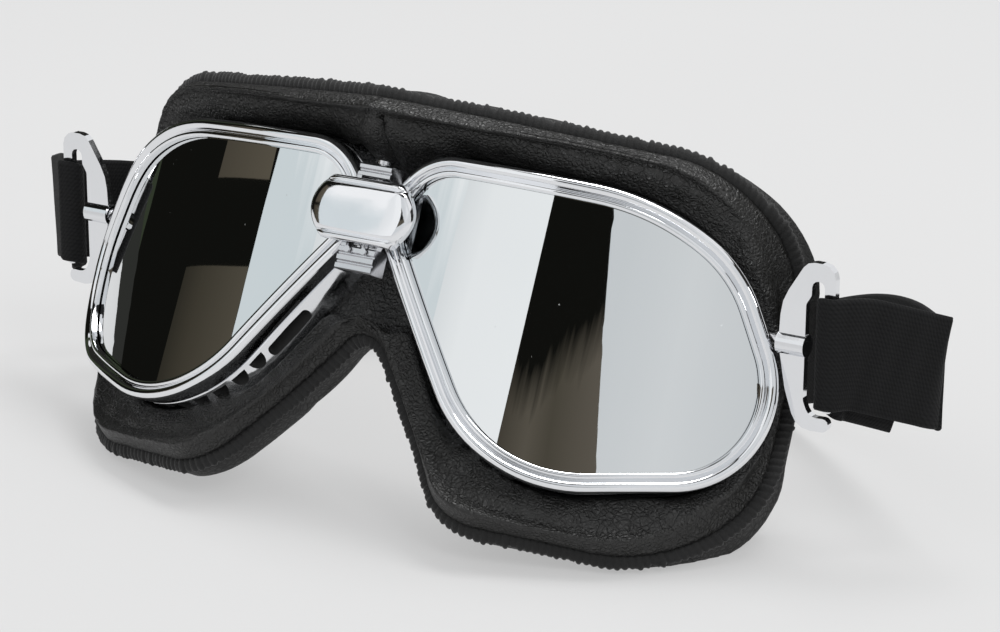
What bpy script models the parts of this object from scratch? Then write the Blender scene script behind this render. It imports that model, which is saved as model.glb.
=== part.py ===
"""Motorcycle goggles: a padded leather mask, two chromed lens frames and an elastic strap.

The goggles lean back as they stand on a table. They are designed upright, in the frame of the
GOGGLES empty: X to the wearer's left, Y back towards the face, Z up. Lengths are in millimetres
up to mesh_object(), which writes metres.
"""
import math

import bmesh
import bpy
from mathutils import Matrix, Vector

MM = 0.001
GAP = 0.3                      # clearance between touching pieces

# How the goggles stand
LEAN_BACK = math.radians(25)
REST_HEIGHT = 68.6             # bridge centre above the table
REST_FORWARD = -44.46          # bridge centre in front of the middle of the footprint

# Lens: a cylinder about a vertical axis, one axis behind each eye
WRAP_RADIUS = 98.0
WRAP_CENTRE = 19.0             # from the middle of the goggles to the foot of the curve
LENS_THICK = 1.6
# Opening of the lens frame, laid flat: across, up, corner radius
LENS_CORNERS = [(-3.0, 9.1, 11.2), (41.2, -52.3, 31.7), (104.9, -37.0, 18.8),
                (82.2, -0.1, 27.9), (63.6, 9.2, 53.0)]
EYE_CENTRE = (46.0, -17.0)

# Sections round the lens opening: outward from its edge, back from the lens front
BEZEL = [(0, -0.3), (0, -1.2), (0.5, -1.7), (1.2, -1.7), (1.6, -1.25), (2.1, -1.9),
         (2.8, -2.3), (3.5, -2.2), (4.2, -1.4), (4.3, 3.0), (3.3, 3.0), (3.3, -0.3)]
GASKET = [(1.5, 0), (3.0, 0), (3.0, 1.7), (1.5, 1.7)]
EYECUP = [(0.8, 2.0), (3.0, 2.0), (3.0, 3.4), (4.3, 3.4), (4.9, 9.9), (5.9, 10.2),
          (5.9, 11.4), (3.8, 11.4), (3.1, 4.6), (0.8, 3.4)]

# Vents in the nose side of the eyecup: distance along that side, depth, length, width
VENT_SLOTS = [(27.5, 7.6, 13.0, 2.4), (54.0, 8.0, 11.0, 2.0)]
VENT_ARCHES = [37.5, 42.7, 47.9, 53.1, 58.3, 63.5]
ARCH_LENGTH, ARCH_RISE, ARCH_DEPTH = 4.0, 2.4, 4.2

# Mask: the seam, seen from the front, and how deep it lies
MASK_TOP = 23.2
SEAM_CORNERS = [(87.0, 23.2, 24.0), (88.8, -62.5, 25.0), (32.5, -63.5, 18.0)]
NOTCH = (0.0, -24.5, 6.0)
SEAM_DEPTH = (5.5, 13.0, 3.8, -14.1, -13.5)    # level, per half width (twice), per height (twice)
EYE_HOLE = 6.5                 # padding's edge outward from the lens opening
LEATHER_LIP = 1.3              # how much nearer the lens frame the leather reaches in front
EYE_DEPTH = 12.0               # middle of the padding, back from the lens
NOSE_DROP = 5.3                # how much deeper the leather starts beside the nose
LEATHER_THICK = 1.0
LINING_THICK = 1.2
# Leather front across the padding, from the eye (0) to the seam (1), and its rise to the front
LEATHER_FRONT = [(0, -7.4), (0.25, -7.6), (0.5, -6.4)]
LEATHER_EDGE = [(-2.7, -4.0), (-1.1, -1.6)]    # the last of it: short of the seam, back
# Back of the padding: across, beyond the seam, back
LINING_BACK = [(0, 0, 9.0), (0.35, 0, 11.0), (0.7, 0, 10.4), (1, 1.4, 8.0), (1, 2.6, 5.0),
               (1, 1.0, 2.8), (1, -1.8, 2.3)]
FOAM_ROOM = 0.7                # between the foam and the skins over it
MIDDLE_BACK = 6.5              # back of the padding between the eyes
WELT_RADIUS = 1.5
WELT_OUT = 0.7

# Bridge: a cover plate over a hinge whose pin stands on the middle plane
HINGE_Y = -1.0
PIN_RADIUS = 1.0
KNUCKLE_RADIUS = 2.7
LEAF_FRONT, LEAF_BACK = -3.9, -2.7
LEAF_OUTER = 7.4
TOP_BLOCK = (5.3, 8.6, 8.2)      # lower end, upper end, width
LOW_BLOCK = (-15.6, -9.9, 9.4)
RIGHT_KNUCKLE = (-4.9, 0.2)
LEFT_KNUCKLES = [(-9.4, -5.2), (0.5, 4.8)]
PLATE_MIDDLE = -2.3
PLATE_HALF_HEIGHT = 7.1
PLATE_HALF_WIDTH = 13.3
PLATE_WAIST = 4.3              # how much narrower the plate is at its top and bottom
PLATE_FRONT = -7.6
PLATE_THICK = 1.1

# Outriggers: flat hooks that turn on a sideways barrel beside each lens frame
BARREL_Y, BARREL_Z = 27.0, -10.6
BARREL_START, BARREL_LENGTH, BARREL_RADIUS = 89.3, 6.6, 2.5
BARREL_CAP = 1.2               # its closed outer end
NECK_RADIUS = 1.5
PIN_INNER = 80.0               # the pin is cut off at the frame from here outward
PIN_ROOM = 0.75                # between the pin and the side of the lens frame
HOOK_X = 90.3                  # inner edge of the hook
HOOK_BAR = 10.9                # from there to the middle of the bar in the strap
HOOK_THICK = 1.8
# Hook outline: outward, up from the barrel, corner radius
HOOK_OUTLINE = [(5.4, 19.0, 3.0), (-0.4, 9.5, 12.0), (-0.9, 0.0, 14.0), (0.9, -10.0, 12.0),
                (3.8, -18.6, 4.5), (11.5, -18.2, 1.5), (11.3, -15.2, 1.2), (6.8, -15.4, 2.5),
                (5.3, -12.0, 3.0), (5.4, 9.6, 1.5), (6.6, 11.6, 0.8), (6.7, 15.0, 1.5),
                (9.65, 15.0, 1.4), (9.65, -13.9, 1.0), (12.15, -13.9, 1.0), (12.15, 19.0, 3.2)]
SWIVEL_ROOM = 0.35

# Strap: woven elastic
STRAP_WIDTH = 25.0
STRAP_THICK = 1.5
STRAP_RISE = -0.5              # its middle at the hook, from the barrel
STRAP_OUT = math.radians(45)   # how far back it heads as it leaves the hook
STRAP_DROOP = math.radians(17)
STRAP_RUN = 23.5               # from the hook's bar to the fold
TAIL_RUN = 19.5                # the end that comes back behind it, which hangs lower
TAIL_SINK = 3.2
TAIL_OFFSET, LEAD_OFFSET = 1.75, -1.15    # the two layers, from the middle of the bar
TAIL_DROOP = 1.1               # how much steeper the end hangs
STRAP_FOLD_SINK = 0.3          # how far it drops at each step round the fold
FOLD_RADIUS = 2.6              # the bend where it turns back behind the mask
FOLD_TURN = math.radians(88)
STRAP_BACK_Y = 112.0           # back of the loop behind the bridge centre

COLOURS = {
    "chrome": ((0.83, 0.84, 0.86), 0.08, 1.0),
    "steel": ((0.62, 0.63, 0.66), 0.22, 1.0),
    "mirror": ((0.62, 0.68, 0.74), 0.03, 0.9),
    "rubber": ((0.012, 0.012, 0.013), 0.6, 0.0),
    "leather": ((0.016, 0.016, 0.016), 0.48, 0.0),
    "lining": ((0.013, 0.013, 0.014), 0.8, 0.0),
    "foam": ((0.03, 0.03, 0.032), 0.95, 0.0),
    "thread": ((0.01, 0.01, 0.01), 0.7, 0.0),
    "webbing": ((0.012, 0.012, 0.013), 0.85, 0.0),
}


def clear_scene():
    for obj in list(bpy.data.objects):
        bpy.data.objects.remove(obj, do_unlink=True)


def new_collection(name):
    collection = bpy.data.collections.new(name)
    bpy.context.scene.collection.children.link(collection)
    return collection


def material(name, kind):
    """A Principled material of the object's own."""
    colour, roughness, metallic = COLOURS[kind]
    mat = bpy.data.materials.new(name)
    mat.use_nodes = True
    shader = mat.node_tree.nodes["Principled BSDF"]
    shader.inputs["Base Color"].default_value = (*colour, 1)
    shader.inputs["Roughness"].default_value = roughness
    shader.inputs["Metallic"].default_value = metallic
    mat.diffuse_color = (*colour, 1)
    return mat


def mesh_object(name, bm, kind, collection=None, sharp=35):
    """Writes a bmesh drawn in millimetres as an object in metres, faces outward."""
    bmesh.ops.recalc_face_normals(bm, faces=bm.faces)
    if bm.calc_volume(signed=True) < 0:
        bmesh.ops.reverse_faces(bm, faces=bm.faces)
    bmesh.ops.scale(bm, vec=(MM, MM, MM), verts=bm.verts)
    mesh = bpy.data.meshes.new(name)
    bm.to_mesh(mesh)
    bm.free()
    mesh.shade_smooth()
    mesh.set_sharp_from_angle(angle=math.radians(sharp))
    obj = bpy.data.objects.new(name, mesh)
    (collection or PARTS).objects.link(obj)
    if kind:
        mesh.materials.append(material(name, kind))
    return obj


def cutter(name, bm):
    obj = mesh_object(name, bm, None, CUTTERS)
    obj.hide_render = True
    obj.display_type = "WIRE"
    return obj


def boolean(obj, tool, operation):
    mod = obj.modifiers.new(tool.name, "BOOLEAN")
    mod.operation = operation
    mod.solver = "EXACT"
    mod.object = tool


def side_name(stem, side):
    return stem + ("_left" if side > 0 else "_right")


# Outlines

def corner_arc(before, corner, after):
    """Centre, first angle and turn of the arc that rounds a corner."""
    point, radius = Vector(corner[:2]), corner[2]
    to_before = (Vector(before[:2]) - point).normalized()
    to_after = (Vector(after[:2]) - point).normalized()
    half = to_before.angle(to_after) / 2
    centre = point + (to_before + to_after).normalized() * radius / math.sin(half)
    start = point + to_before * radius / math.tan(half) - centre
    end = point + to_after * radius / math.tan(half) - centre
    turn = math.atan2(start.x * end.y - start.y * end.x, start.dot(end))
    return centre, radius, math.atan2(start.y, start.x), turn


def arc_stations(before, corner, after, step, angle_step):
    """(point, outward normal) along one rounded corner."""
    centre, radius, first, turn = corner_arc(before, corner, after)
    count = max(2, math.ceil(abs(turn) / math.radians(angle_step)),
                math.ceil(abs(turn) * radius / step))
    stations = []
    for k in range(count + 1):
        angle = first + turn * k / count
        ray = Vector((math.cos(angle), math.sin(angle)))
        stations.append((centre + ray * radius, ray if turn > 0 else -ray))
    return stations


def fill_straights(stations, step, closed):
    """Adds stations along straights longer than step."""
    result = []
    for (point, normal), (after, _) in zip(stations, stations[1:] + stations[:1]):
        result.append((point, normal))
        run = after - point
        if run.length > step * 1.5 and (closed or after is not stations[0][0]):
            count = round(run.length / step)
            flat = Vector((run.y, -run.x)).normalized()
            result += [(point + run * k / count, flat) for k in range(1, count)]
    return result


def rounded_outline(corners, step=6.0, angle_step=12):
    """(point, outward normal) round a closed outline whose corners go anticlockwise."""
    stations = []
    for i, corner in enumerate(corners):
        stations += arc_stations(corners[i - 1], corner, corners[(i + 1) % len(corners)],
                                 step, angle_step)
    return fill_straights(stations, step, True)


def wrap(across, up, back, side=1):
    """From the lens laid flat to its place round the wrap axis."""
    angle = (across - WRAP_CENTRE) / WRAP_RADIUS
    reach = WRAP_RADIUS - back
    return Vector((side * (WRAP_CENTRE + reach * math.sin(angle)),
                   WRAP_RADIUS - reach * math.cos(angle), up))


def wrap_back(side_x):
    """Direction towards the face at a point this far across."""
    angle = (side_x - WRAP_CENTRE) / WRAP_RADIUS
    return Vector((-math.sin(angle), math.cos(angle), 0))


# Lens frames

def frame_ring(name, section, side, kind, step=6.0, angle_step=12, sharp=35):
    """A ring of one section round the lens opening."""
    bm = bmesh.new()
    loops = []
    for point, normal in rounded_outline(LENS_CORNERS, step, angle_step):
        loops.append([bm.verts.new(wrap(*(point + normal * out), back, side))
                      for out, back in section])
    for here, there in zip(loops, loops[1:] + loops[:1]):
        for i in range(len(section)):
            j = (i + 1) % len(section)
            bm.faces.new((here[i], here[j], there[j], there[i]))
    return mesh_object(name, bm, kind, sharp=sharp)


def lens(side):
    """The lens, cut from flat sheet in strips narrow enough to take the curve."""
    bm = bmesh.new()
    rim = [point + normal * 1.2 for point, normal in rounded_outline(LENS_CORNERS)]
    bm.faces.new([bm.verts.new((p.x, 0, p.y)) for p in rim])
    left, right = min(p.x for p in rim), max(p.x for p in rim)
    strips = 15
    for k in range(1, strips):
        bmesh.ops.bisect_plane(bm, geom=bm.verts[:] + bm.edges[:] + bm.faces[:],
                               plane_co=(left + (right - left) * k / strips, 0, 0),
                               plane_no=(1, 0, 0))
    bmesh.ops.triangulate(bm, faces=bm.faces[:])
    made = bmesh.ops.extrude_face_region(bm, geom=bm.faces[:], use_keep_orig=True)
    for item in made["geom"]:
        if isinstance(item, bmesh.types.BMVert):
            item.co.y = LENS_THICK
    for vert in bm.verts:
        vert.co = wrap(vert.co.x, vert.co.z, vert.co.y, side)
    return mesh_object(side_name("lens", side), bm, "mirror")


def along_nose_side(distance):
    """(point, along, outward) on the lens opening, down its nose side and round the bottom."""
    outline = rounded_outline(LENS_CORNERS, 2.0, 4)
    start = min(range(len(outline)), key=lambda i: outline[i][0].x + 0.2 * outline[i][0].y)
    travelled = 0.0
    for k in range(len(outline)):
        here, there = (outline[(start + k + j) % len(outline)] for j in (0, 1))
        run = there[0] - here[0]
        if travelled + run.length >= distance:
            return here[0] + run * (distance - travelled) / run.length, run.normalized(), here[1]
        travelled += run.length
    return here[0], run.normalized(), here[1]


def vent_prism(bm, distance, outline, side):
    """A prism through the eyecup wall, from an outline of (along, back) points."""
    point, along, outward = along_nose_side(distance)
    rings = []
    for reach in (1.5, 8.0):
        rings.append([bm.verts.new(wrap(*(point + along * a + outward * reach), back, side))
                      for a, back in outline])
    count = len(outline)
    for i in range(count):
        j = (i + 1) % count
        bm.faces.new((rings[0][i], rings[0][j], rings[1][j], rings[1][i]))
    bm.faces.new(rings[0])
    bm.faces.new(rings[1][::-1])


def eyecup(side):
    """The rear frame, with vents in its nose side."""
    obj = frame_ring(side_name("eyecup", side), EYECUP, side, "chrome", sharp=25)
    bm = bmesh.new()
    for distance, depth, length, width in VENT_SLOTS:
        half, radius = length / 2 - width / 2, width / 2
        outline = []
        for end in (1, -1):
            for k in range(5):
                angle = math.radians(-90 + 45 * k) if end > 0 else math.radians(90 + 45 * k)
                outline.append((end * half + radius * math.cos(angle),
                                depth + radius * math.sin(angle)))
        vent_prism(bm, distance, outline, side)
    for distance in VENT_ARCHES:
        arch = [(-ARCH_LENGTH / 2, ARCH_DEPTH), (ARCH_LENGTH / 2, ARCH_DEPTH)]
        arch += [(ARCH_LENGTH / 2 * math.cos(a), ARCH_DEPTH + ARCH_RISE * math.sin(a))
                 for a in (math.radians(45), math.radians(90), math.radians(135))]
        if all(abs(distance - slot[0]) > slot[2] / 2 + 3 for slot in VENT_SLOTS[:1]):
            vent_prism(bm, distance, arch, side)
    boolean(obj, cutter(side_name("vents", side), bm), "DIFFERENCE")
    return obj


# Mask

def seam_depth(x, z):
    """How deep the mask's edge lies where it follows the face."""
    level, across, across2, up, up2 = SEAM_DEPTH
    a, q = abs(x) / 50, z / 40
    return level + across * a + across2 * a * a + up * q + up2 * q * q


def seam_path(step=9.0):
    """(point, outward normal) from the top middle to the nose notch on the left half."""
    start, notch = (0.0, MASK_TOP), NOTCH
    last = SEAM_CORNERS[-1]
    corners = [start] + SEAM_CORNERS + [notch]
    stations = [(Vector(start), Vector((0, 1)))]
    for i in range(1, len(corners) - 1):
        arc = arc_stations(corners[i - 1], corners[i], corners[i + 1], step, 18)
        stations += [(p, -n) for p, n in arc]
    arc = arc_stations(last, notch, (-last[0], last[1]), 2.5, 30)
    stations += [(p, -n) for p, n in arc if p.x > -0.01]
    filled = []
    for (here, normal), (there, _) in zip(stations, stations[1:]):
        filled.append((here, normal))
        run = there - here
        if run.length > step * 1.4:
            count = round(run.length / step)
            flat = Vector((-run.y, run.x)).normalized()
            filled += [(here + run * k / count, flat) for k in range(1, count)]
    filled.append((Vector((0, stations[-1][0].y)), Vector((0, -1))))
    return filled


def middle_rise(z):
    """How far the padding has risen from between the eyes to the brow."""
    share = min(max((z - 5) / 16, 0), 1)
    return share * share * (3 - 2 * share)


def middle_depth(z):
    """Middle of the padding on the plane between the eyes."""
    low = min(max((-16 - z) / 9, 0), 1)
    level = EYE_DEPTH + (seam_depth(0, z) + 1.2 - EYE_DEPTH) * low
    return level + (seam_depth(0, MASK_TOP) + 1 - EYE_DEPTH) * middle_rise(z)


class Rib:
    """One station of the padding between an eye hole and the seam."""

    def __init__(self, seam, normal, middle):
        x, z = seam
        self.middle = middle
        self.rise = middle_rise(z)
        self.on_plane = x < 0.01
        depth = middle_depth(z) if middle else seam_depth(x, z)
        self.seam = Vector((x, depth, z))
        self.out = Vector((0, 0, 0)) if middle else Vector((normal.x, 0, normal.y))
        flat = WRAP_CENTRE + WRAP_RADIUS * math.atan2(x - WRAP_CENTRE, WRAP_RADIUS - depth)
        angle = math.atan2(z - EYE_CENTRE[1], flat - EYE_CENTRE[0])
        edge = eye_edge_at(angle)
        self.eye = wrap(edge.x, edge.y, EYE_DEPTH)
        self.inward = (wrap(*EYE_CENTRE, EYE_DEPTH) - self.eye).normalized()
        self.width = (self.seam - self.eye).length
        self.back = wrap_back(edge.x)
        self.seam_back = (self.back - self.out * self.back.dot(self.out)).normalized()
        self.nose = max(0.0, min(1.0, (34 - edge.x) / 12)) if edge.y < 6 else 0.0

    def at(self, across, out, back):
        towards = self.back.lerp(self.seam_back, across).normalized()
        point = self.eye.lerp(self.seam, across) + self.out * out + towards * back
        if self.on_plane and across == 1 or point.x < 0:
            point.x = 0.0
        return point

    def leather(self):
        """Front of the leather."""
        points = []
        for across, back in LEATHER_FRONT:
            back += NOSE_DROP * self.nose * (1 - across) ** 1.5
            if self.middle:
                back = -2.1 + (back + 2.1) * self.rise - (0.5 if across == 0.5 else 0)
            points.append(self.at(across, 0, back))
        for out, back in LEATHER_EDGE:
            if self.middle:
                out, back = 0, -2.1
            points.append(self.at(1, max(out, -0.2 * self.width), back))
        if not self.middle:
            points[0] += self.inward * LEATHER_LIP * (1 - self.nose)
        return points

    def rear(self, profile, middle_back):
        """Back of the padding, which closes at the seam and runs on between the eyes."""
        if not self.middle:
            scale = min(1.0, self.width / 10)
            tuck = scale * (0.5 if self.seam.x < 10 and self.seam.z < 0 else 1)
            return [self.at(across, out * (tuck if out > 0 else scale),
                            back * (scale if across == 1 else 1))
                    for across, out, back in profile]
        return [self.at(p[0], 0, middle_back + (0 if p[0] in (0, 1) else 0.4)) for p in profile]


def eye_edge_at(angle):
    """Leather edge of the eye hole, laid flat, in this direction from the eye's centre."""
    edge = [point + normal * EYE_HOLE for point, normal in rounded_outline(LENS_CORNERS, 2.0, 4)]
    centre = Vector(EYE_CENTRE)
    ray = Vector((math.cos(angle), math.sin(angle)))
    for here, there in zip(edge, edge[1:] + edge[:1]):
        a, b = here - centre, there - centre
        side_a, side_b = ray.x * a.y - ray.y * a.x, ray.x * b.y - ray.y * b.x
        if side_a <= 0 < side_b and a.dot(ray) > 0:
            return here.lerp(there, side_a / (side_a - side_b))
    return edge[0]


def mask_ribs():
    ribs = [Rib(point, normal, False) for point, normal in seam_path()]
    low, high = ribs[-1].seam.z, MASK_TOP
    for k in range(1, 9):
        z = low + (high - low) * (k / 9) ** 0.93
        ribs.append(Rib((0.0, z), None, True))
    return ribs


def join_ribs(ribs, line):
    """The left half's ribs joined in a ring, mirrored to the right."""
    bm = bmesh.new()
    loops = [[bm.verts.new(p) for p in line(rib)] for rib in ribs]
    for here, there in zip(loops, loops[1:] + loops[:1]):
        for i in range(len(here) - 1):
            corners = (here[i], here[i + 1], there[i + 1], there[i])
            if any(v.co.x > 1e-6 for v in corners):
                bm.faces.new(corners)
    bmesh.ops.delete(bm, geom=[v for v in bm.verts if not v.link_faces], context="VERTS")
    bmesh.ops.remove_doubles(bm, verts=bm.verts, dist=1e-5)
    bmesh.ops.mirror(bm, geom=bm.verts[:] + bm.edges[:] + bm.faces[:], axis="X",
                     merge_dist=1e-4)
    bmesh.ops.recalc_face_normals(bm, faces=bm.faces)
    return bm


def skin(name, ribs, line, thick, outward, kind, trim=None):
    """A sheet over the padding, its outer face on the given line of each rib."""
    bm = join_ribs(ribs, line)
    facing = sum((f.normal * f.calc_area() for f in bm.faces), Vector()).y
    if facing * outward < 0:
        bmesh.ops.reverse_faces(bm, faces=bm.faces)
    if trim:
        trim(bm)
    bmesh.ops.scale(bm, vec=(MM, MM, MM), verts=bm.verts)
    mesh = bpy.data.meshes.new(name)
    bm.to_mesh(mesh)
    bm.free()
    mesh.shade_smooth()
    mesh.set_sharp_from_angle(angle=math.radians(60))
    obj = bpy.data.objects.new(name, mesh)
    PARTS.objects.link(obj)
    mesh.materials.append(material(name, kind))
    shell = obj.modifiers.new("thickness", "SOLIDIFY")
    shell.thickness = thick * MM
    shell.offset = -1
    return obj


def flatten_feet(bm):
    """Flattens the padding where it presses on the table."""
    up = Vector((0, -math.sin(LEAN_BACK), math.cos(LEAN_BACK)))
    cut = bmesh.ops.bisect_plane(bm, geom=bm.verts[:] + bm.edges[:] + bm.faces[:],
                                 plane_co=up * -REST_HEIGHT, plane_no=up, clear_inner=True)
    edges = [g for g in cut["geom_cut"] if isinstance(g, bmesh.types.BMEdge)]
    bmesh.ops.holes_fill(bm, edges=edges, sides=0)


def lining_line(rib):
    return rib.rear(LINING_BACK, MIDDLE_BACK)


def foam_section(rib):
    """Fills the middle of the padding, clear of the skins and short of their seam."""
    front, back = rib.leather()[:3:2], lining_line(rib)[:3:2]
    front[0] -= rib.inward * LEATHER_LIP * (1 - rib.nose)
    skins = LEATHER_THICK + FOAM_ROOM, LINING_THICK + FOAM_ROOM
    narrow = max(0.0, 10.5 - rib.width)
    return shrink(front + [rib.at(1, 0.2 - 0.2 * narrow, 6.5)] + back[::-1],
                  [skins[0] + 0.55 * narrow, skins[0] + 0.2, skins[1], skins[1], 0.2 + 0.2 * narrow],
                  (rib.seam - rib.eye).cross(rib.back).normalized())


def foam_pad(side, ribs):
    """The pad round the outside of one eye, from the brow to beside the nose."""
    bm = bmesh.new()
    loops = [[bm.verts.new((side * p.x, p.y, p.z)) for p in foam_section(rib)]
             for rib in ribs if not rib.middle and rib.seam.x > 2]
    for here, there in zip(loops, loops[1:]):
        for i in range(len(here)):
            j = (i + 1) % len(here)
            bm.faces.new((here[i], here[j], there[j], there[i]))
    bm.faces.new(loops[0])
    bm.faces.new(loops[-1][::-1])
    return mesh_object(side_name("foam_pad", side), bm, "foam", sharp=60)


def shrink(corners, room, axis):
    """Moves each side of a flat outline inward by its own room."""
    count = len(corners)
    centre = sum(corners, Vector()) / count
    lines = []
    for i, corner in enumerate(corners):
        run = (corners[(i + 1) % count] - corner).normalized()
        inward = axis.cross(run).normalized()
        if inward.dot(centre - corner) < 0:
            inward = -inward
        lines.append((corner + inward * room[i], run, inward))
    moved = []
    for i in range(count):
        (start, run, before), (other, _, inward) = lines[i - 1], lines[i]
        slope = run.dot(inward)
        if abs(slope) > 0.3:
            moved.append(start + run * ((other - start).dot(inward) / slope))
        else:
            moved.append(corners[i] + (before * room[i - 1] + inward * room[i]) / 2)
    return moved


def welt(ribs):
    """The overlocked edge: a round bead along the whole seam."""
    half = [rib.seam + rib.out * WELT_OUT for rib in ribs if not rib.middle]
    path = half + [Vector((-p.x, p.y, p.z)) for p in half[-2:0:-1]]
    curve = bpy.data.curves.new("edge_welt", "CURVE")
    curve.dimensions = "3D"
    curve.bevel_depth = WELT_RADIUS * MM
    curve.bevel_resolution = 1
    curve.render_resolution_u = 0
    spline = curve.splines.new("POLY")
    spline.points.add(len(path) - 1)
    for slot, point in zip(spline.points, path):
        slot.co = (*(point * MM), 1)
    spline.use_cyclic_u = True
    obj = bpy.data.objects.new("edge_welt", curve)
    PARTS.objects.link(obj)
    curve.materials.append(material("edge_welt", "thread"))
    return obj


# Bridge

def add_box(bm, low, high):
    size = Vector(high) - Vector(low)
    place = Matrix.Translation((Vector(low) + Vector(high)) / 2) @ Matrix.Diagonal((*size, 1))
    return bmesh.ops.create_cube(bm, size=1, matrix=place)


def add_cylinder(bm, radius, start, end, sides=20):
    """A cylinder between two points."""
    start, end = Vector(start), Vector(end)
    turn = (end - start).to_track_quat("Z", "Y").to_matrix().to_4x4()
    return bmesh.ops.create_cone(bm, cap_ends=True, segments=sides, radius1=radius,
                                 radius2=radius, depth=(end - start).length,
                                 matrix=Matrix.Translation((start + end) / 2) @ turn)


def ribbed_block(bm, low, high, width):
    """A block between the frames, its front and back ribbed across."""
    ribs = max(2, round((high - low) / 1.8))
    pitch = (high - low) / ribs
    front, back = [], []
    for k in range(ribs):
        z = low + pitch * k
        front += [(LEAF_FRONT + 0.5, z + 0.1), (LEAF_FRONT, z + 0.45), (LEAF_FRONT, z + pitch - 0.45),
                  (LEAF_FRONT + 0.5, z + pitch - 0.1)]
    back = [(1.5, high - 0.1), (1.5, low + 0.1)]
    rings = [[bm.verts.new((x, y, z)) for y, z in front + back] for x in (-width / 2, width / 2)]
    count = len(front + back)
    for i in range(count):
        j = (i + 1) % count
        bm.faces.new((rings[0][i], rings[0][j], rings[1][j], rings[1][i]))
    bm.faces.new(rings[0])
    bm.faces.new(rings[1][::-1])


def hinge_leaf(side):
    """A leaf in front of the lens frame, with its knuckles round the pin."""
    bm = bmesh.new()
    inner, outer = sorted((side * (KNUCKLE_RADIUS + 0.5), side * LEAF_OUTER))
    low, high = -8.4, 3.8
    add_box(bm, (inner, LEAF_FRONT, low), (outer, LEAF_BACK, high))
    leaf = mesh_object(side_name("hinge_leaf", side), bm, "steel", sharp=30)
    for k, (start, end) in enumerate([RIGHT_KNUCKLE] if side < 0 else LEFT_KNUCKLES):
        bm = bmesh.new()
        add_cylinder(bm, KNUCKLE_RADIUS, (0, HINGE_Y, start), (0, HINGE_Y, end))
        boolean(leaf, cutter(side_name("knuckle%d" % k, side), bm), "UNION")
        bm = bmesh.new()
        inner, outer = sorted((0, side * (KNUCKLE_RADIUS + 1.0)))
        add_box(bm, (inner, LEAF_FRONT + 0.2, start), (outer, LEAF_BACK, end))
        boolean(leaf, cutter(side_name("tab%d" % k, side), bm), "UNION")
    if side < 0:
        bm = bmesh.new()
        add_box(bm, (-4.3, LEAF_FRONT + 0.1, LOW_BLOCK[1] - 1), (-3.1, LEAF_BACK, TOP_BLOCK[0] + 1))
        boolean(leaf, cutter("tab_web", bm), "UNION")
        for name, block in (("top_block", TOP_BLOCK), ("low_block", LOW_BLOCK)):
            bm = bmesh.new()
            ribbed_block(bm, *block)
            boolean(leaf, cutter(name, bm), "UNION")
    bm = bmesh.new()
    add_cylinder(bm, PIN_RADIUS + GAP, (0, HINGE_Y, -20), (0, HINGE_Y, 12))
    boolean(leaf, cutter(side_name("pin_bore", side), bm), "DIFFERENCE")
    return leaf


def hinge_pin():
    """The pin, with a low round head above the top block."""
    bm = bmesh.new()
    add_cylinder(bm, PIN_RADIUS, (0, HINGE_Y, LOW_BLOCK[0] + 0.4), (0, HINGE_Y, TOP_BLOCK[1] + GAP + 0.2))
    pin = mesh_object("hinge_pin", bm, "steel")
    bm = bmesh.new()
    add_cylinder(bm, 1.7, (0, HINGE_Y, TOP_BLOCK[1] + GAP), (0, HINGE_Y, TOP_BLOCK[1] + GAP + 0.8))
    boolean(pin, cutter("pin_head", bm), "UNION")
    return pin


def bridge_plate():
    """A convex cover with a rolled lip along its top and bottom and arched ends."""
    rows = [(-1, 1.5), (-0.975, 1.0), (-0.9, 0.55), (-0.82, 0.75), (-0.79, 1.05), (-0.74, 0.35),
            (-0.5, 0.1), (-0.2, 0), (0.2, 0), (0.5, 0.1), (0.74, 0.35), (0.79, 1.05),
            (0.82, 0.75), (0.9, 0.55), (0.975, 1.0), (1, 1.5)]
    columns = [-1, -0.97, -0.9, -0.75, -0.5, -0.2, 0.2, 0.5, 0.75, 0.9, 0.97, 1]
    bm = bmesh.new()
    grids = []
    for layer in (0, 1):
        grid = []
        for up, sunk in rows:
            half = PLATE_HALF_WIDTH - PLATE_WAIST * up * up
            depth = PLATE_THICK + 0.1 + 1.3 * up ** 6 if layer else sunk
            grid.append([bm.verts.new((half * across,
                                       PLATE_FRONT + depth + 1.5 * across ** 6 + 0.6 * across ** 2
                                       - (0 if layer else sunk * across ** 6),
                                       PLATE_MIDDLE + PLATE_HALF_HEIGHT * up))
                         for across in columns])
        for below, above in zip(grid, grid[1:]):
            for i in range(len(columns) - 1):
                bm.faces.new((below[i], below[i + 1], above[i + 1], above[i]))
        grids.append(grid)
    rims = [grid[0] + [row[-1] for row in grid[1:-1]] + grid[-1][::-1]
            + [row[0] for row in grid[-2:0:-1]] for grid in grids]
    for i in range(len(rims[0])):
        j = (i + 1) % len(rims[0])
        bm.faces.new((rims[0][i], rims[0][j], rims[1][j], rims[1][i]))
    return mesh_object("bridge_plate", bm, "chrome", sharp=50)


def bridge_screw(side):
    """A small pan-head screw on the lower block."""
    bm = bmesh.new()
    x, z = side * 2.1, LOW_BLOCK[1] - 0.95
    add_cylinder(bm, 0.75, (x, LEAF_FRONT - GAP, z), (x, LEAF_FRONT - GAP - 0.55, z), 12)
    return mesh_object(side_name("bridge_screw", side), bm, "steel")


# Outriggers, drawn about the barrel: X outward, Y back, Z up

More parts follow.
